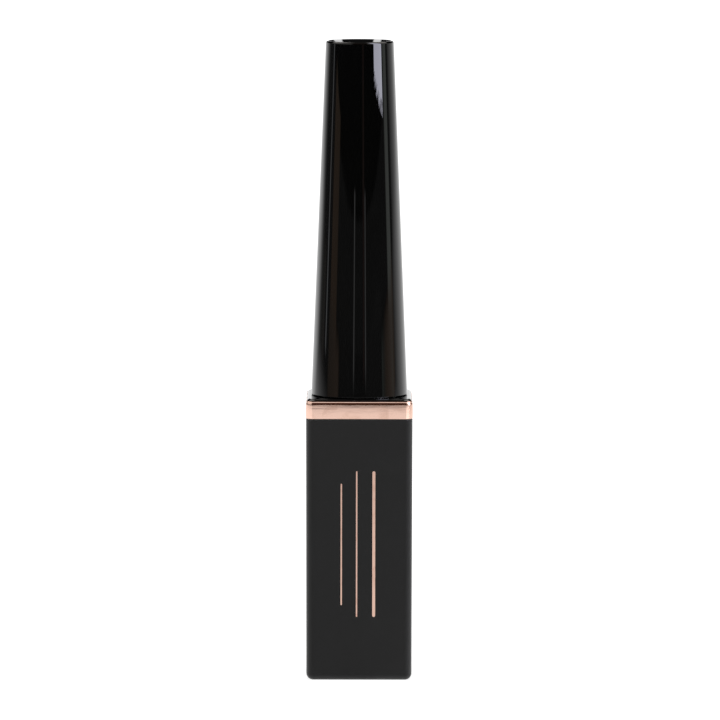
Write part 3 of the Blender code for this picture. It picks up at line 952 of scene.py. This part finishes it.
@dataclass
class ShoulderPlate(SubAssembly):
    """The thin gloss plate with the boss that centres the cap and the plug that holds the vial down."""

    slope: float = 0.3 * MM
    fillet: float = 0.12 * MM
    edge_fillet: float = 0.06 * MM
    boss_play: float = 0.2 * MM
    boss_fillet: float = 0.1 * MM
    boss_steps: int = 3
    count: int = 52

    def build(self) -> None:
        """Makes the plate."""
        lay = self.layout
        boss = lay.cap_shell.radius - CAP_WALL - self.boss_play
        foot, top, width = lay.shoulder.foot, lay.shoulder.top, lay.shoulder.width
        corner = CASE_CORNER + (width - lay.outer_case.width) / 2
        former = Former(corner_steps=self.count // 4 - 1, arc_steps=5)
        plate = former.block(Block(lay.plate_foot, lay.plate_top, width, width - 2 * self.slope, corner,
                                   self.edge_fillet, self.fillet))
        plug = former.block(Block(foot, lay.plate_foot, lay.plug_width, lay.plug_width, PLUG_CORNER))
        former.bridge(former.open_end(plate, lay.plate_foot), former.open_end(plug, lay.plate_foot))
        seat_top = lay.cone_foot + VIAL_CONE_HEIGHT + FIT_GAP * math.hypot(1, lay.cone_slope)
        seat_foot = lay.neck_radius + (seat_top - foot) * lay.cone_slope
        throat = seat_top - THREAD_REACH / lay.cone_slope
        rings = [former.open_end(plate, lay.plate_top)]
        for radius, height in ((boss, lay.plate_top), (boss, top), (lay.pass_radius, top), (lay.pass_radius, throat),
                               (seat_foot, foot)):
            rings.append(former.circle(radius, height, self.count))
        rings.append(former.open_end(plug, foot))
        for below, above in zip(rings, rings[1:]):
            former.bridge(below, above)
        former.bevel(former.ring_edges(Corner(boss, top)), self.boss_fillet, self.boss_steps)
        self.shop.add(former, "shoulder_plate", Body.BOTTLE, PIANO_BLACK, "shoulder")


@dataclass
class Vial(SubAssembly):
    """The round vial with its threaded neck."""

    wall: float = 0.8 * MM
    floor: float = 0.9 * MM
    foot_fillet: float = 1.0 * MM
    cone_fillet: float = 0.5 * MM
    rim_fillet: float = 0.2 * MM
    thread_drop: float = 5.4 * MM
    thread_turns: float = 2.1
    steps: int = 128

    def build(self) -> None:
        """Makes the vial."""
        lay = self.layout
        cone_foot, cone_top = lay.cone_foot, lay.cone_foot + VIAL_CONE_HEIGHT
        outside, foot = lay.inner_vial.radius, lay.inner_vial.foot
        inside, floor = outside - self.wall, foot + self.floor
        neck = lay.neck_radius
        former = Former().turn((
            Corner(neck, lay.rim, self.rim_fillet), Corner(neck, cone_top),
            Corner(outside, cone_foot, self.cone_fillet), Corner(outside, foot, self.foot_fillet), Corner(0.0, foot),
            Corner(0.0, floor), Corner(inside, floor, self.foot_fillet),
            Corner(inside, cone_foot - self.wall / 2, self.cone_fillet),
            Corner(lay.bore_radius, cone_top - self.wall / 2), Corner(lay.bore_radius, lay.rim),
        ), self.steps)
        former.thread(neck, lay.rim - self.thread_drop, self.thread_turns, Side.OUTWARD)
        resin = Inked("clear_resin", (0.66, 0.66, 0.64), (0.60, 0.59, 0.57), 0.14, smudge=0.1, patch=2 * MM,
                      grain_depth=0.0005 * MM, clean=lay.rim - 0.9 * MM, stained=lay.rim + 0.3 * MM)
        self.shop.add(former, "ink_vial", Body.BOTTLE, resin, "inner_vial")


@dataclass
class Wiper(SubAssembly):
    """The soft plug in the neck, with its flange on the rim and the lip that wipes the stem."""

    flange: float = 0.5 * MM
    wall: float = 0.55 * MM
    barrel: float = 4.6 * MM
    lip_thickness: float = 0.4 * MM
    lip_length: float = 0.5 * MM
    fillet: float = 0.12 * MM

    def build(self) -> None:
        """Makes the wiper."""
        wiper = self.layout.wiper
        barrel = self.layout.bore_radius - FIT_GAP / 2
        under = wiper.top - self.flange
        foot = under - self.barrel
        lip = STEM_RADIUS + RUNNING_GAP
        former = Former().turn((
            Corner(wiper.radius, wiper.top, self.fillet), Corner(wiper.radius, under), Corner(barrel, under),
            Corner(barrel, foot), Corner(lip + self.lip_thickness, wiper.foot, self.fillet), Corner(lip, wiper.foot),
            Corner(lip, wiper.foot + self.lip_length), Corner(barrel - self.wall, foot),
            Corner(barrel - self.wall, wiper.top, self.fillet),
        ))
        soft = Inked("soft_resin", (0.78, 0.77, 0.74), (0.70, 0.69, 0.66), 0.4, smudge=0.1, patch=1.5 * MM,
                     clean=wiper.top + 0.15 * MM, stained=wiper.top - 0.7 * MM)
        self.shop.add(former, "wiper_plug", Body.BOTTLE, soft, "wiper")


@dataclass
class MixingBall(SubAssembly):
    """The steel ball that stirs the ink."""

    def build(self) -> None:
        """Makes the ball."""
        low, high = self.layout.mixing_ball.low, self.layout.mixing_ball.high
        former = Former()
        bmesh.ops.create_icosphere(former.form, subdivisions=4, radius=(high.z - low.z) / 2,
                                   matrix=Matrix.Translation((low + high) / 2))
        self.shop.add(former, "steel_ball", Body.BALL, STEEL, "mixing_ball")


@dataclass
class Cap(SubAssembly):
    """The tall tapered cap and the threaded insert inside it."""

    top_radius: float = 4.865 * MM
    top_wall: float = 1.6 * MM
    top_fillet: float = 0.3 * MM
    foot_fillet: float = 0.1 * MM
    inner_fillet: float = 0.8 * MM
    dome: float = 0.02 * MM
    dome_rings: Sequence[float] = (0.0, 0.35, 0.7, 0.92)
    insert_wall: float = 0.55 * MM
    insert_roof: float = 0.9 * MM
    foot_ring: float = 0.7 * MM
    socket_wall: float = 0.9 * MM
    rib_count: int = 8
    rib_thickness: float = 0.8 * MM
    gusset_count: int = 4
    gusset_thickness: float = 0.7 * MM
    edge_fillet: float = 0.15 * MM
    thread_drop: float = 6.4 * MM
    thread_turns: float = 2.2
    steps: int = 256
    insert_steps: int = 128

    def inner_radius(self, height: float) -> float:
        """Gives the radius of the shell's inner wall.

        Args:
            height: Where on the shell.

        Returns:
            The radius.
        """
        shell = self.layout.cap_shell
        taper = (shell.radius - self.top_radius) / (shell.top - shell.foot)
        return shell.radius - (height - shell.foot) * taper - CAP_WALL

    def build(self) -> None:
        """Makes the shell and the insert."""
        self.build_shell()
        self.build_insert()

    def build_shell(self) -> None:
        """Makes the gloss shell, whose top is very slightly domed."""
        shell = self.layout.cap_shell
        inner_top = shell.top - self.top_wall
        dome = [Corner(self.top_radius * share, shell.top - self.dome * share ** 2) for share in self.dome_rings]
        former = Former(arc_steps=6).turn((
            *dome, Corner(self.top_radius, shell.top - self.dome, self.top_fillet),
            Corner(shell.radius, shell.foot, self.foot_fillet),
            Corner(self.inner_radius(shell.foot), shell.foot, self.foot_fillet),
            Corner(self.inner_radius(inner_top), inner_top, self.inner_fillet), Corner(0.0, inner_top),
        ), self.steps)
        self.shop.add(former, "gloss_cap", Body.CAP, PIANO_BLACK, "cap_shell")

    def build_insert(self) -> None:
        """Makes the insert: its bore with the thread, the ribs that grip the shell, and the stem's socket."""
        lay = self.layout
        insert = lay.cap_insert
        core = lay.pass_radius + self.insert_wall
        roof = lay.ceiling + self.insert_roof
        socket = STEM_PLUG_RADIUS + RUNNING_GAP
        socket_roof = lay.ceiling + STEM_PLUG_LENGTH + RUNNING_GAP
        tower = socket + self.socket_wall
        ring_top = insert.foot + self.foot_ring
        former = Former().turn((
            Corner(0.0, insert.top), Corner(tower, insert.top, self.edge_fillet), Corner(tower, roof),
            Corner(core, roof, self.edge_fillet), Corner(core, ring_top), Corner(insert.radius, ring_top),
            Corner(insert.radius, insert.foot, self.edge_fillet),
            Corner(lay.pass_radius, insert.foot, self.edge_fillet), Corner(lay.pass_radius, lay.ceiling),
            Corner(socket, lay.ceiling), Corner(socket, socket_roof), Corner(0.0, socket_roof),
        ), self.insert_steps)
        bite = self.insert_wall / 2
        for index in range(self.rib_count):
            former.fin(core - bite, self.inner_radius(ring_top) - FIT_GAP, self.inner_radius(roof) - FIT_GAP,
                       ring_top - bite, roof - self.edge_fillet, self.rib_thickness, FULL_TURN * index / self.rib_count)
        for index in range(self.gusset_count):
            former.fin(tower - bite, core - self.edge_fillet, tower + bite, roof - bite,
                       insert.top - self.edge_fillet - bite, self.gusset_thickness,
                       FULL_TURN * (index + 0.5) / self.gusset_count)
        former.thread(lay.pass_radius, lay.rim - self.thread_drop, self.thread_turns, Side.INWARD)
        self.shop.add(former, "threaded_insert", Body.CAP, MOULDED_BLACK, "cap_insert")


@dataclass
class Applicator(SubAssembly):
    """The seal washer, the stem, the crimped sleeve and the bristles."""

    stem_foot_radius: float = 1.1 * MM
    nose_radius: float = 1.0 * MM
    nose_length: float = 1.0 * MM
    nose_fillet: float = 0.3 * MM
    washer_fillet: float = 0.08 * MM
    plug_chamfer: float = 0.4 * MM
    fillet: float = 0.15 * MM
    sleeve_wall: float = 0.12 * MM
    crimp_depth: float = 0.06 * MM
    crimp_height: float = 0.3 * MM
    crimp_fillet: float = 0.05 * MM
    sleeve_fillet: float = 0.03 * MM
    sleeve_steps: int = 64
    bristle_count: int = 340
    bristle_radius: float = 0.035 * MM
    bristle_cuts: int = 7
    bristle_taper: float = 0.75
    uneven_ends: float = 0.16
    outer_ends: float = 0.25
    twist: float = 0.25
    seed: int = 11
    tuft_play: float = 0.05 * MM
    tip_radius: float = 0.05 * MM
    belly_share: float = 0.34
    point_share: float = 1.7

    def build(self) -> None:
        """Makes the pieces."""
        self.build_washer()
        self.build_stem()
        self.build_sleeve()
        self.build_bristles()

    def build_washer(self) -> None:
        """Makes the seal washer."""
        washer = self.layout.seal_washer
        inner, edge = STEM_RADIUS + RUNNING_GAP, self.washer_fillet
        former = Former().turn((
            Corner(washer.radius, washer.top, edge), Corner(washer.radius, washer.foot, edge),
            Corner(inner, washer.foot, edge), Corner(inner, washer.top, edge),
        ))
        self.shop.add(former, "foam_washer", Body.SEAL, SEAL_FOAM, "seal_washer")

    def build_stem(self) -> None:
        """Makes the stem with its flange and plug."""
        stem, sleeve, washer = self.layout.stem, self.layout.brush_ferrule, self.layout.seal_washer
        flange_foot = washer.top + SEAM
        flange_top = flange_foot + STEM_FLANGE
        hole = sleeve.radius + FIT_GAP
        hole_top = sleeve.top + FIT_GAP
        former = Former().turn((
            Corner(0.0, stem.top), Corner(STEM_PLUG_RADIUS - self.plug_chamfer, stem.top),
            Corner(STEM_PLUG_RADIUS, stem.top - self.plug_chamfer), Corner(STEM_PLUG_RADIUS, flange_top),
            Corner(washer.radius, flange_top, self.fillet), Corner(washer.radius, flange_foot, self.fillet),
            Corner(STEM_RADIUS, flange_foot),
            Corner(self.stem_foot_radius, stem.foot + self.nose_length, self.nose_fillet),
            Corner(self.nose_radius, stem.foot, self.fillet), Corner(hole, stem.foot), Corner(hole, hole_top),
            Corner(0.0, hole_top),
        ))
        wet_stem = Inked("moulded_black", (0.013, 0.013, 0.0135), grey(0.02), 0.34, smudge=0.1, patch=3 * MM,
                         grain=0.15 * MM, grain_depth=0.0015 * MM, clean=40 * MM, stained=33 * MM)
        self.shop.add(former, "wand_stem", Body.APPLICATOR, wet_stem, "stem")

    def build_sleeve(self) -> None:
        """Makes the crimped sleeve."""
        sleeve = self.layout.brush_ferrule
        radius, bore = sleeve.radius, sleeve.radius - self.sleeve_wall
        middle = (sleeve.foot + self.layout.stem.foot) / 2
        upper, lower = middle + self.crimp_height / 2, middle - self.crimp_height / 2
        former = Former().turn((
            Corner(radius, sleeve.top), Corner(radius, upper, self.crimp_fillet),
            Corner(radius - self.crimp_depth, middle, self.crimp_fillet), Corner(radius, lower, self.crimp_fillet),
            Corner(radius, sleeve.foot, self.sleeve_fillet), Corner(bore, sleeve.foot), Corner(bore, sleeve.top),
        ), self.sleeve_steps)
        self.shop.add(former, "crimped_sleeve", Body.APPLICATOR, STEEL, "brush_ferrule")

    def tuft_reach(self, share: float) -> float:
        """Gives the radius of the bundle.

        Args:
            share: How far below the sleeve, as a share of the bundle's length.

        Returns:
            The radius.
        """
        root = self.layout.brush_ferrule.radius - self.sleeve_wall - self.tuft_play
        belly, tip = self.layout.brush_tuft.radius, self.tip_radius
        if share < self.belly_share:
            return root + (belly - root) * math.sin(math.pi / 2 * max(0.0, share) / self.belly_share)
        fall = (share - self.belly_share) / (1 - self.belly_share)
        return tip + (belly - tip) * (1 - min(1.0, fall) ** self.point_share)

    def build_bristles(self) -> None:
        """Makes the bundle: each bristle follows the outline's swell and comes in to the point."""
        former = Former()
        draw = random.Random(self.seed)
        tuft, mouth = self.layout.brush_tuft, self.layout.brush_ferrule.foot
        length, root = mouth - tuft.foot, tuft.top - mouth
        bmesh.ops.create_cone(former.form, cap_ends=True, segments=3, radius1=1.0, radius2=1.0, depth=1.0)
        former.cut_sides(self.bristle_cuts)
        pattern = list(former.form.verts) + list(former.form.edges) + list(former.form.faces)
        for index in range(self.bristle_count):
            copy = bmesh.ops.duplicate(former.form, geom=pattern)["geom"]
            verts = [item for item in copy if isinstance(item, Vert)]
            spread = math.sqrt((index + 0.5) / self.bristle_count)
            angle = index * GOLDEN_ANGLE
            reach = length * (1 - self.uneven_ends * draw.random() ** 2 - self.outer_ends * spread * draw.random())
            twist = draw.uniform(-self.twist, self.twist)
            for vert in verts:
                down = 0.5 - vert.co.z
                drop = down * (reach + root) - root
                share = max(0.0, drop / length)
                thin = self.bristle_radius * (1 - self.bristle_taper * down ** 3)
                bundle = max(0.0, self.tuft_reach(share) - self.bristle_radius) * spread
                around = angle + twist * share
                vert.co = (bundle * math.cos(around) + vert.co.x * thin, bundle * math.sin(around) + vert.co.y * thin,
                           mouth - drop)
        bmesh.ops.delete(former.form, geom=[item for item in pattern if isinstance(item, Vert)], context="VERTS")
        wet = Inked("bristle", (0.035, 0.028, 0.025), (0.02, 0.016, 0.015), 0.35, smudge=0.1, patch=0.6 * MM,
                    clean=mouth + 0.3 * MM, stained=mouth - 1.5 * MM)
        self.shop.add(former, "bristles", Body.APPLICATOR, wet, "brush_tuft")


@dataclass(frozen=True)
class Band:
    """A stretch of directions or heights with soft edges.

    Attributes:
        start: Where it starts, in degrees.
        end: Where it ends.
        edge: How wide each soft edge is.
    """

    start: float
    end: float
    edge: float

    def mask(self, nodes: Nodes, value: Socket) -> Socket:
        """1 in the stretch and 0 outside."""
        begun = nodes.ramp(value, self.start, self.start + self.edge)
        return nodes.math("MULTIPLY", begun, nodes.ramp(value, self.end - self.edge, self.end, 1.0, 0.0))


@dataclass(frozen=True)
class Softbox:
    """The softbox that gloss mirrors, whose ragged lower edge slopes down to its right.

    Attributes:
        sides: Where it stands.
        foot: The height of its lower edge at each side.
        foot_edge: How soft that edge is.
        top: The heights over which it ends.
        blots: How fine the blots of the lower edge are, across and upwards.
        blot_noise: The noise that makes the lowest and the highest blot.
        blot: How far the blots reach up and down.
        colour: Its light.
    """

    sides: Band = Band(46.8, 77.2, 1.2)
    foot: Span = (0.83, -0.05)
    foot_edge: float = 0.02
    top: Span = (66.0, 70.0)
    blots: Span = (0.16, 36.0)
    blot_noise: Span = (0.4, 0.6)
    blot: float = 0.06
    colour: Colour = (7.6, 7.6, 8.9)

    def mask(self, nodes: Nodes, azimuth: Socket, height: Socket) -> Socket:
        """Tells where the softbox stands.

        Args:
            nodes: The world's nodes.
            azimuth: The direction.
            height: The height.

        Returns:
            1 on the softbox and 0 elsewhere.
        """
        slope = (self.foot[1] - self.foot[0]) / (self.sides.end - self.sides.start)
        line = nodes.math("MULTIPLY_ADD", azimuth, slope, self.foot[0] - slope * self.sides.start)
        place = nodes.add("CombineXYZ", {0: nodes.math("MULTIPLY", azimuth, self.blots[0]),
                                         1: nodes.math("MULTIPLY", height, self.blots[1])}).outputs[0]
        noise = nodes.add("TexNoise", {"Vector": place, "Scale": 1.0, "Detail": 1.0}).outputs[0]
        ragged = nodes.ramp(noise, *self.blot_noise, -self.blot, self.blot)
        above = nodes.math("SUBTRACT", height, nodes.math("ADD", line, ragged))
        mask = nodes.math("MULTIPLY", nodes.ramp(above, 0.0, self.foot_edge), self.sides.mask(nodes, azimuth))
        return nodes.math("MULTIPLY", mask, nodes.ramp(height, *self.top, 1.0, 0.0))


@dataclass(frozen=True)
class Lamp:
    """A soft square lamp that looks at the object.

    Attributes:
        name: The lamp's name.
        place: Where it hangs.
        width: Its width and height.
        power: Its power in watts.
    """

    name: str
    place: Place
    width: float
    power: float

    def build(self, target: Vector) -> None:
        """Hangs the lamp.

        Args:
            target: What it looks at.
        """
        lamp = bpy.data.lights.new(self.name, "AREA")
        lamp.shape = "RECTANGLE"
        lamp.size = lamp.size_y = self.width
        lamp.energy = self.power
        obj = new_object(self.name, lamp)
        obj.location = self.place
        obj.rotation_euler = (target - Vector(self.place)).to_track_quat("-Z", "Y").to_euler()
        obj.visible_camera = False
        obj.visible_glossy = False


WHITE: Colour = grey(1.0)
ROOM: Colour = grey(0.006)
BACKDROP: Colour = grey(1.25)
WARM_CARD: Colour = (0.30, 0.21, 0.15)
RAIL: Colour = grey(0.6)
EDGE_CARD: Colour = (0.80, 0.82, 0.84)
SIDE_CARD: Colour = (0.62, 0.66, 0.62)
TABLE: Colour = (0.30, 0.22, 0.17)


@dataclass
class Studio:
    """The plain pale floor, the soft light and the camera.

    The room is white wherever the camera looks past the object. What gloss mirrors is a dark room with a white
    backdrop behind the object, a few upright cards and a softbox. Directions and heights are in degrees: a
    direction counts from the camera's side towards the object's right, and a height from the horizon up. A span is
    where one thing gives way to the next.
    """

    # the camera
    distance: float = 0.987
    elevation: float = math.radians(5.753)
    roll: float = math.radians(0.089)
    aim: Place = (0.09 * MM, 0.0, 45.42 * MM)
    lens: float = 343.2
    sensor: float = 36.0
    clip: Span = (0.01, 20.0)
    # the mirrored room near the horizon, from behind round by the object's left, front and right
    ring: Stops = (
        (-180.0, BACKDROP), (-150.0, BACKDROP), (-136.0, grey(0.95)), (-129.0, grey(0.65)), (-120.0, grey(0.2)),
        (-112.0, ROOM), (-97.0, ROOM), (-96.0, EDGE_CARD), (-93.5, EDGE_CARD), (-92.5, ROOM), (8.0, ROOM),
        (9.5, (0.16, 0.1, 0.09)), (12.0, (0.16, 0.1, 0.09)), (13.0, ROOM), (79.5, ROOM), (82.0, SIDE_CARD),
        (93.0, SIDE_CARD), (96.0, ROOM), (100.0, ROOM), (108.0, grey(0.36)), (118.0, grey(0.56)), (136.0, grey(0.9)),
        (152.0, BACKDROP), (180.0, BACKDROP),
    )
    ring_top: Span = (7.5, 8.5)
    # the dark gap straight behind, with lighter slits in it, and the cards that stand only low
    gap: Span = (179.58, 179.64)
    slits: Sequence[Band] = (Band(-179.835, -179.735, 0.02), Band(179.783, 179.874, 0.02))
    slit_light: float = 0.65
    warm_card: Band = Band(-83.0, -61.0, 2.0)
    rails: Sequence[Band] = (Band(-15.8, -12.2, 0.8), Band(13.4, 16.8, 0.8))
    card_top: Span = (0.2, 0.28)
    # the mirrored walls, ceiling, high lights and softbox
    front_wall: Colour = (0.06, 0.022, 0.008)
    side_wall: Colour = (0.8, 0.77, 0.74)
    side_start: Span = (22.0, 34.0)
    side_end: Span = (100.0, 120.0)
    horizon: Span = (-0.1, 0.1)
    horizon_glow: float = 0.06
    overhead: Colour = (0.14, 0.12, 0.11)
    overhead_foot: Span = (46.0, 52.0)
    high_light: Colour = (2.0, 1.9, 1.8)
    high_light_height: Band = Band(34.0, 74.0, 8.0)
    high_light_aside: Band = Band(88.0, 166.0, 8.0)
    softbox: Softbox = Softbox()
    # the floor: its half width, how pale it is to light and to the camera, its glow near the object, dimmed there as a
    # painted shadow, and how far that reaches
    floor_reach: float = 2.5
    floor_paint: Span = (0.8, 0.4)
    contact_light: float = 0.78
    contact_reach: Span = (0.04, 0.25)
    # the mirrored floor far off: its glow, which only gloss sees, with a glowing card that lies on it
    ground: Stops = (
        (-180.0, BACKDROP), (-136.0, BACKDROP), (-129.0, grey(0.85)), (-120.0, grey(0.2)), (-112.0, (0.1, 0.1, 0.09)),
        (-104.0, (0.16, 0.15, 0.14)), (-96.0, ROOM), (-86.0, ROOM), (-82.0, (0.2, 0.16, 0.13)), (-60.0, TABLE),
        (-54.0, TABLE), (-50.0, ROOM), (56.0, ROOM), (58.0, (0.28, 0.32, 0.3)), (62.0, (0.2, 0.2, 0.18)), (70.0, TABLE),
        (82.0, (0.42, 0.32, 0.26)), (90.0, (0.46, 0.4, 0.34)), (96.0, TABLE), (99.0, grey(0.2)), (106.0, grey(0.5)),
        (116.0, grey(0.8)), (134.0, grey(1.16)), (180.0, BACKDROP),
    )
    ground_reach: Span = (1.4, 2.3)
    edge_card: Band = Band(-96.5, -91.5, 1.5)
    edge_card_near: Span = (1.0, 1.15)
    # the painted pool of light on the floor near the object, which only gloss sees, whose sides reach farther than its
    # front
    pool: Stops = (
        (-180.0, grey(1.2)), (-25.0, grey(1.2)), (-12.0, WHITE), (12.0, WHITE), (20.0, grey(1.5)), (54.0, grey(1.5)),
        (62.0, grey(1.1)), (180.0, grey(1.2)),
    )
    pool_reach: Span = (0.3, 0.85)
    pool_far: float = 0.05
    pool_sides: Span = (12.0, 25.0)
    pool_widening: float = 0.85
    # the light on dull surfaces
    fill: float = 0.62
    lamps: Sequence[Lamp] = (Lamp("overhead_softbox", (0.05, -0.15, 0.62), 0.45, 2.2),
                             Lamp("front_softbox", (-0.42, -0.55, 0.40), 0.35, 1.2))
    lamp_aim: Place = (0.0, 0.0, 45 * MM)

    def build(self) -> None:
        """Makes the room, the lamps and the camera."""
        self.build_world()
        self.build_floor()
        for lamp in self.lamps:
            lamp.build(Vector(self.lamp_aim))
        self.build_camera()
        bpy.context.scene.view_settings.view_transform = "Standard"

    @staticmethod
    def azimuth(nodes: Nodes, parts: Sockets) -> Socket:
        """The direction of a vector in degrees, from the camera's side towards the object's right."""
        toward = nodes.math("MULTIPLY", parts[1], -1.0)
        return nodes.math("DEGREES", nodes.math("ARCTAN2", parts[0], toward))

    @staticmethod
    def to_camera(nodes: Nodes, rays: Sockets) -> Socket:
        """1 for what the camera sees, also through clear pieces."""
        return nodes.math("MAXIMUM", rays["Is Camera Ray"], rays["Is Transmission Ray"])

    @staticmethod
    def round_colour(nodes: Nodes, azimuth: Socket, stops: Stops) -> Socket:
        """Blends the colours of stops by direction.

        Args:
            nodes: The material's or world's nodes.
            azimuth: The direction.
            stops: The colours.

        Returns:
            The colour.
        """
        node = nodes.add("ValToRGB", {0: nodes.math("MULTIPLY_ADD", azimuth, 1 / 360, 0.5)})
        elements = node.color_ramp.elements
        for index, (degrees, colour) in enumerate(stops):
            place = degrees / 360 + 0.5
            element = elements[index] if index < 2 else elements.new(place)
            element.position = place
            element.color = (*colour, 1.0)
        return node.outputs[0]

    def ring_colour(self, nodes: Nodes, azimuth: Socket, low: object) -> Socket:
        """Gives the mirrored room's colour near the horizon.

        Args:
            nodes: The material's or world's nodes.
            azimuth: The direction.
            low: 1 where the low cards stand.

        Returns:
            The colour.
        """
        warm = nodes.math("MULTIPLY", self.warm_card.mask(nodes, azimuth), low)
        ring = self.round_colour(nodes, azimuth, self.ring)
        ring = nodes.mix(1.0, ring, nodes.mix(warm, ROOM, WARM_CARD), "LIGHTEN")
        for rail in self.rails:
            lit = nodes.math("MULTIPLY", rail.mask(nodes, azimuth), low)
            ring = nodes.mix(1.0, ring, nodes.mix(lit, ROOM, RAIL), "LIGHTEN")
        dark = nodes.ramp(nodes.math("ABSOLUTE", azimuth), *self.gap)
        for slit in self.slits:
            shut = nodes.math("MULTIPLY_ADD", slit.mask(nodes, azimuth), -self.slit_light, 1.0)
            dark = nodes.math("MULTIPLY", dark, shut)
        return nodes.mix(dark, ring, ROOM)

    def build_world(self) -> None:
        """Makes the room's light."""
        world = bpy.data.worlds.new("studio_room")
        bpy.context.scene.world = world
        nodes = Nodes.fresh(world)
        parts = nodes.add("SeparateXYZ", {0: nodes.add("TexCoord").outputs["Generated"]}).outputs
        azimuth = self.azimuth(nodes, parts)
        height = nodes.math("DEGREES", nodes.math("ARCSINE", parts[2]))
        aside = nodes.math("ABSOLUTE", azimuth)
        room = nodes.mix(nodes.ramp(aside, *self.side_start), self.front_wall, self.side_wall)
        room = nodes.mix(nodes.ramp(aside, *self.side_end), room, ROOM)
        ring = self.ring_colour(nodes, azimuth, nodes.ramp(height, *self.card_top, 1.0, 0.0))
        ring = nodes.mix(nodes.ramp(height, *self.ring_top, 1.0, 0.0), room, ring)
        horizon = nodes.ramp(height, *self.horizon, self.horizon_glow, 0.0)
        ring = nodes.mix(1.0, ring, horizon, "LIGHTEN")
        mirrored = nodes.mix(nodes.ramp(height, *self.overhead_foot), ring, self.overhead)
        high = nodes.math("MULTIPLY", self.high_light_height.mask(nodes, height),
                          self.high_light_aside.mask(nodes, aside))
        mirrored = nodes.mix(high, mirrored, self.high_light)
        mirrored = nodes.mix(self.softbox.mask(nodes, azimuth, height), mirrored, self.softbox.colour)
        rays = nodes.add("LightPath").outputs
        plain = nodes.math("MAXIMUM", self.to_camera(nodes, rays), self.fill)
        seen = nodes.mix(rays["Is Glossy Ray"], plain, mirrored)
        background = nodes.add("Background", {"Color": seen, "Strength": 1.0})
        nodes.add("OutputWorld", {"Surface": background.outputs[0]})

    def build_floor(self) -> None:
        """Makes the pale floor: white to the camera, with the object's soft shadow and a painted shadow where its glow
        dims near the object, and a bright painted pool of light that only gloss sees.
        """
        form = bmesh.new()
        bmesh.ops.create_grid(form, x_segments=1, y_segments=1, size=self.floor_reach)
        mesh = bpy.data.meshes.new("floor")
        form.to_mesh(mesh)
        form.free()
        floor = new_object("floor", mesh)
        material = bpy.data.materials.new("pale_floor")
        nodes = Nodes.fresh(material)
        place = nodes.add("TexCoord").outputs["Object"]
        away = nodes.add("VectorMath", {0: place}, operation="LENGTH").outputs["Value"]
        azimuth = self.azimuth(nodes, nodes.add("SeparateXYZ", {0: place}).outputs)
        aside = nodes.math("ABSOLUTE", azimuth)
        near = nodes.math("MULTIPLY", away, nodes.ramp(aside, *self.pool_sides, 1.0, self.pool_widening))
        # a painted pool of light on the floor near the object, which only gloss sees
        pool = nodes.mix(1.0, self.round_colour(nodes, azimuth, self.pool),
                         nodes.ramp(near, *self.pool_reach, 1.0, self.pool_far), "MULTIPLY")
        mirrored = nodes.mix(nodes.ramp(away, *self.ground_reach), self.round_colour(nodes, azimuth, self.ground),
                             self.ring_colour(nodes, azimuth, 1.0))
        card = nodes.math("MULTIPLY", self.edge_card.mask(nodes, azimuth), nodes.ramp(away, *self.edge_card_near))
        mirrored = nodes.mix(1.0, mirrored, nodes.mix(card, ROOM, EDGE_CARD), "LIGHTEN")
        mirrored = nodes.mix(1.0, mirrored, pool, "LIGHTEN")
        rays = nodes.add("LightPath").outputs
        seen = self.to_camera(nodes, rays)
        # to the camera the floor's glow dims towards the object as a painted shadow; gloss sees the mirrored glow
        glow = nodes.mix(rays["Is Glossy Ray"], nodes.ramp(away, *self.contact_reach, self.contact_light, 1.0),
                         mirrored)
        level = nodes.math("MAXIMUM", seen, rays["Is Glossy Ray"])
        shine = nodes.add("Emission", {"Color": glow, "Strength": level})
        to_light, to_camera = self.floor_paint
        paint = nodes.math("MULTIPLY_ADD", seen, to_camera - to_light, to_light)
        paint = nodes.math("MULTIPLY", paint, nodes.math("SUBTRACT", 1.0, rays["Is Glossy Ray"]))
        matte = nodes.add("BsdfDiffuse", {"Color": paint})
        both = nodes.add("AddShader", {0: matte.outputs[0], 1: shine.outputs[0]})
        nodes.add("OutputMaterial", {"Surface": both.outputs[0]})
        mesh.materials.append(material)

    def build_camera(self) -> None:
        """Sets the camera at the photograph's place."""
        data = bpy.data.cameras.new("camera")
        data.lens = self.lens
        data.sensor_width = self.sensor
        data.clip_start, data.clip_end = self.clip
        camera = new_object("camera", data)
        back = Vector((0.0, -math.cos(self.elevation), math.sin(self.elevation)))
        camera.location = Vector(self.aim) + back * self.distance
        turn = (-back).to_track_quat("-Z", "Y").to_matrix() @ Matrix.Rotation(self.roll, 3, "Z")
        camera.rotation_euler = turn.to_euler()
        bpy.context.scene.camera = camera


def main() -> None:
    """Builds the bottle's pieces in order, then the studio."""
    logging.basicConfig(level=logging.INFO, format="%(name)s: %(message)s")
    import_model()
    layout = Layout.from_frame()
    shop = Workshop()
    for sub_assembly in (Case, TrimRing, ShoulderPlate, Vial, Wiper, MixingBall, Cap, Applicator):
        sub_assembly(layout, shop).build()
    Studio().build()


if __name__ == "__main__":
    main()
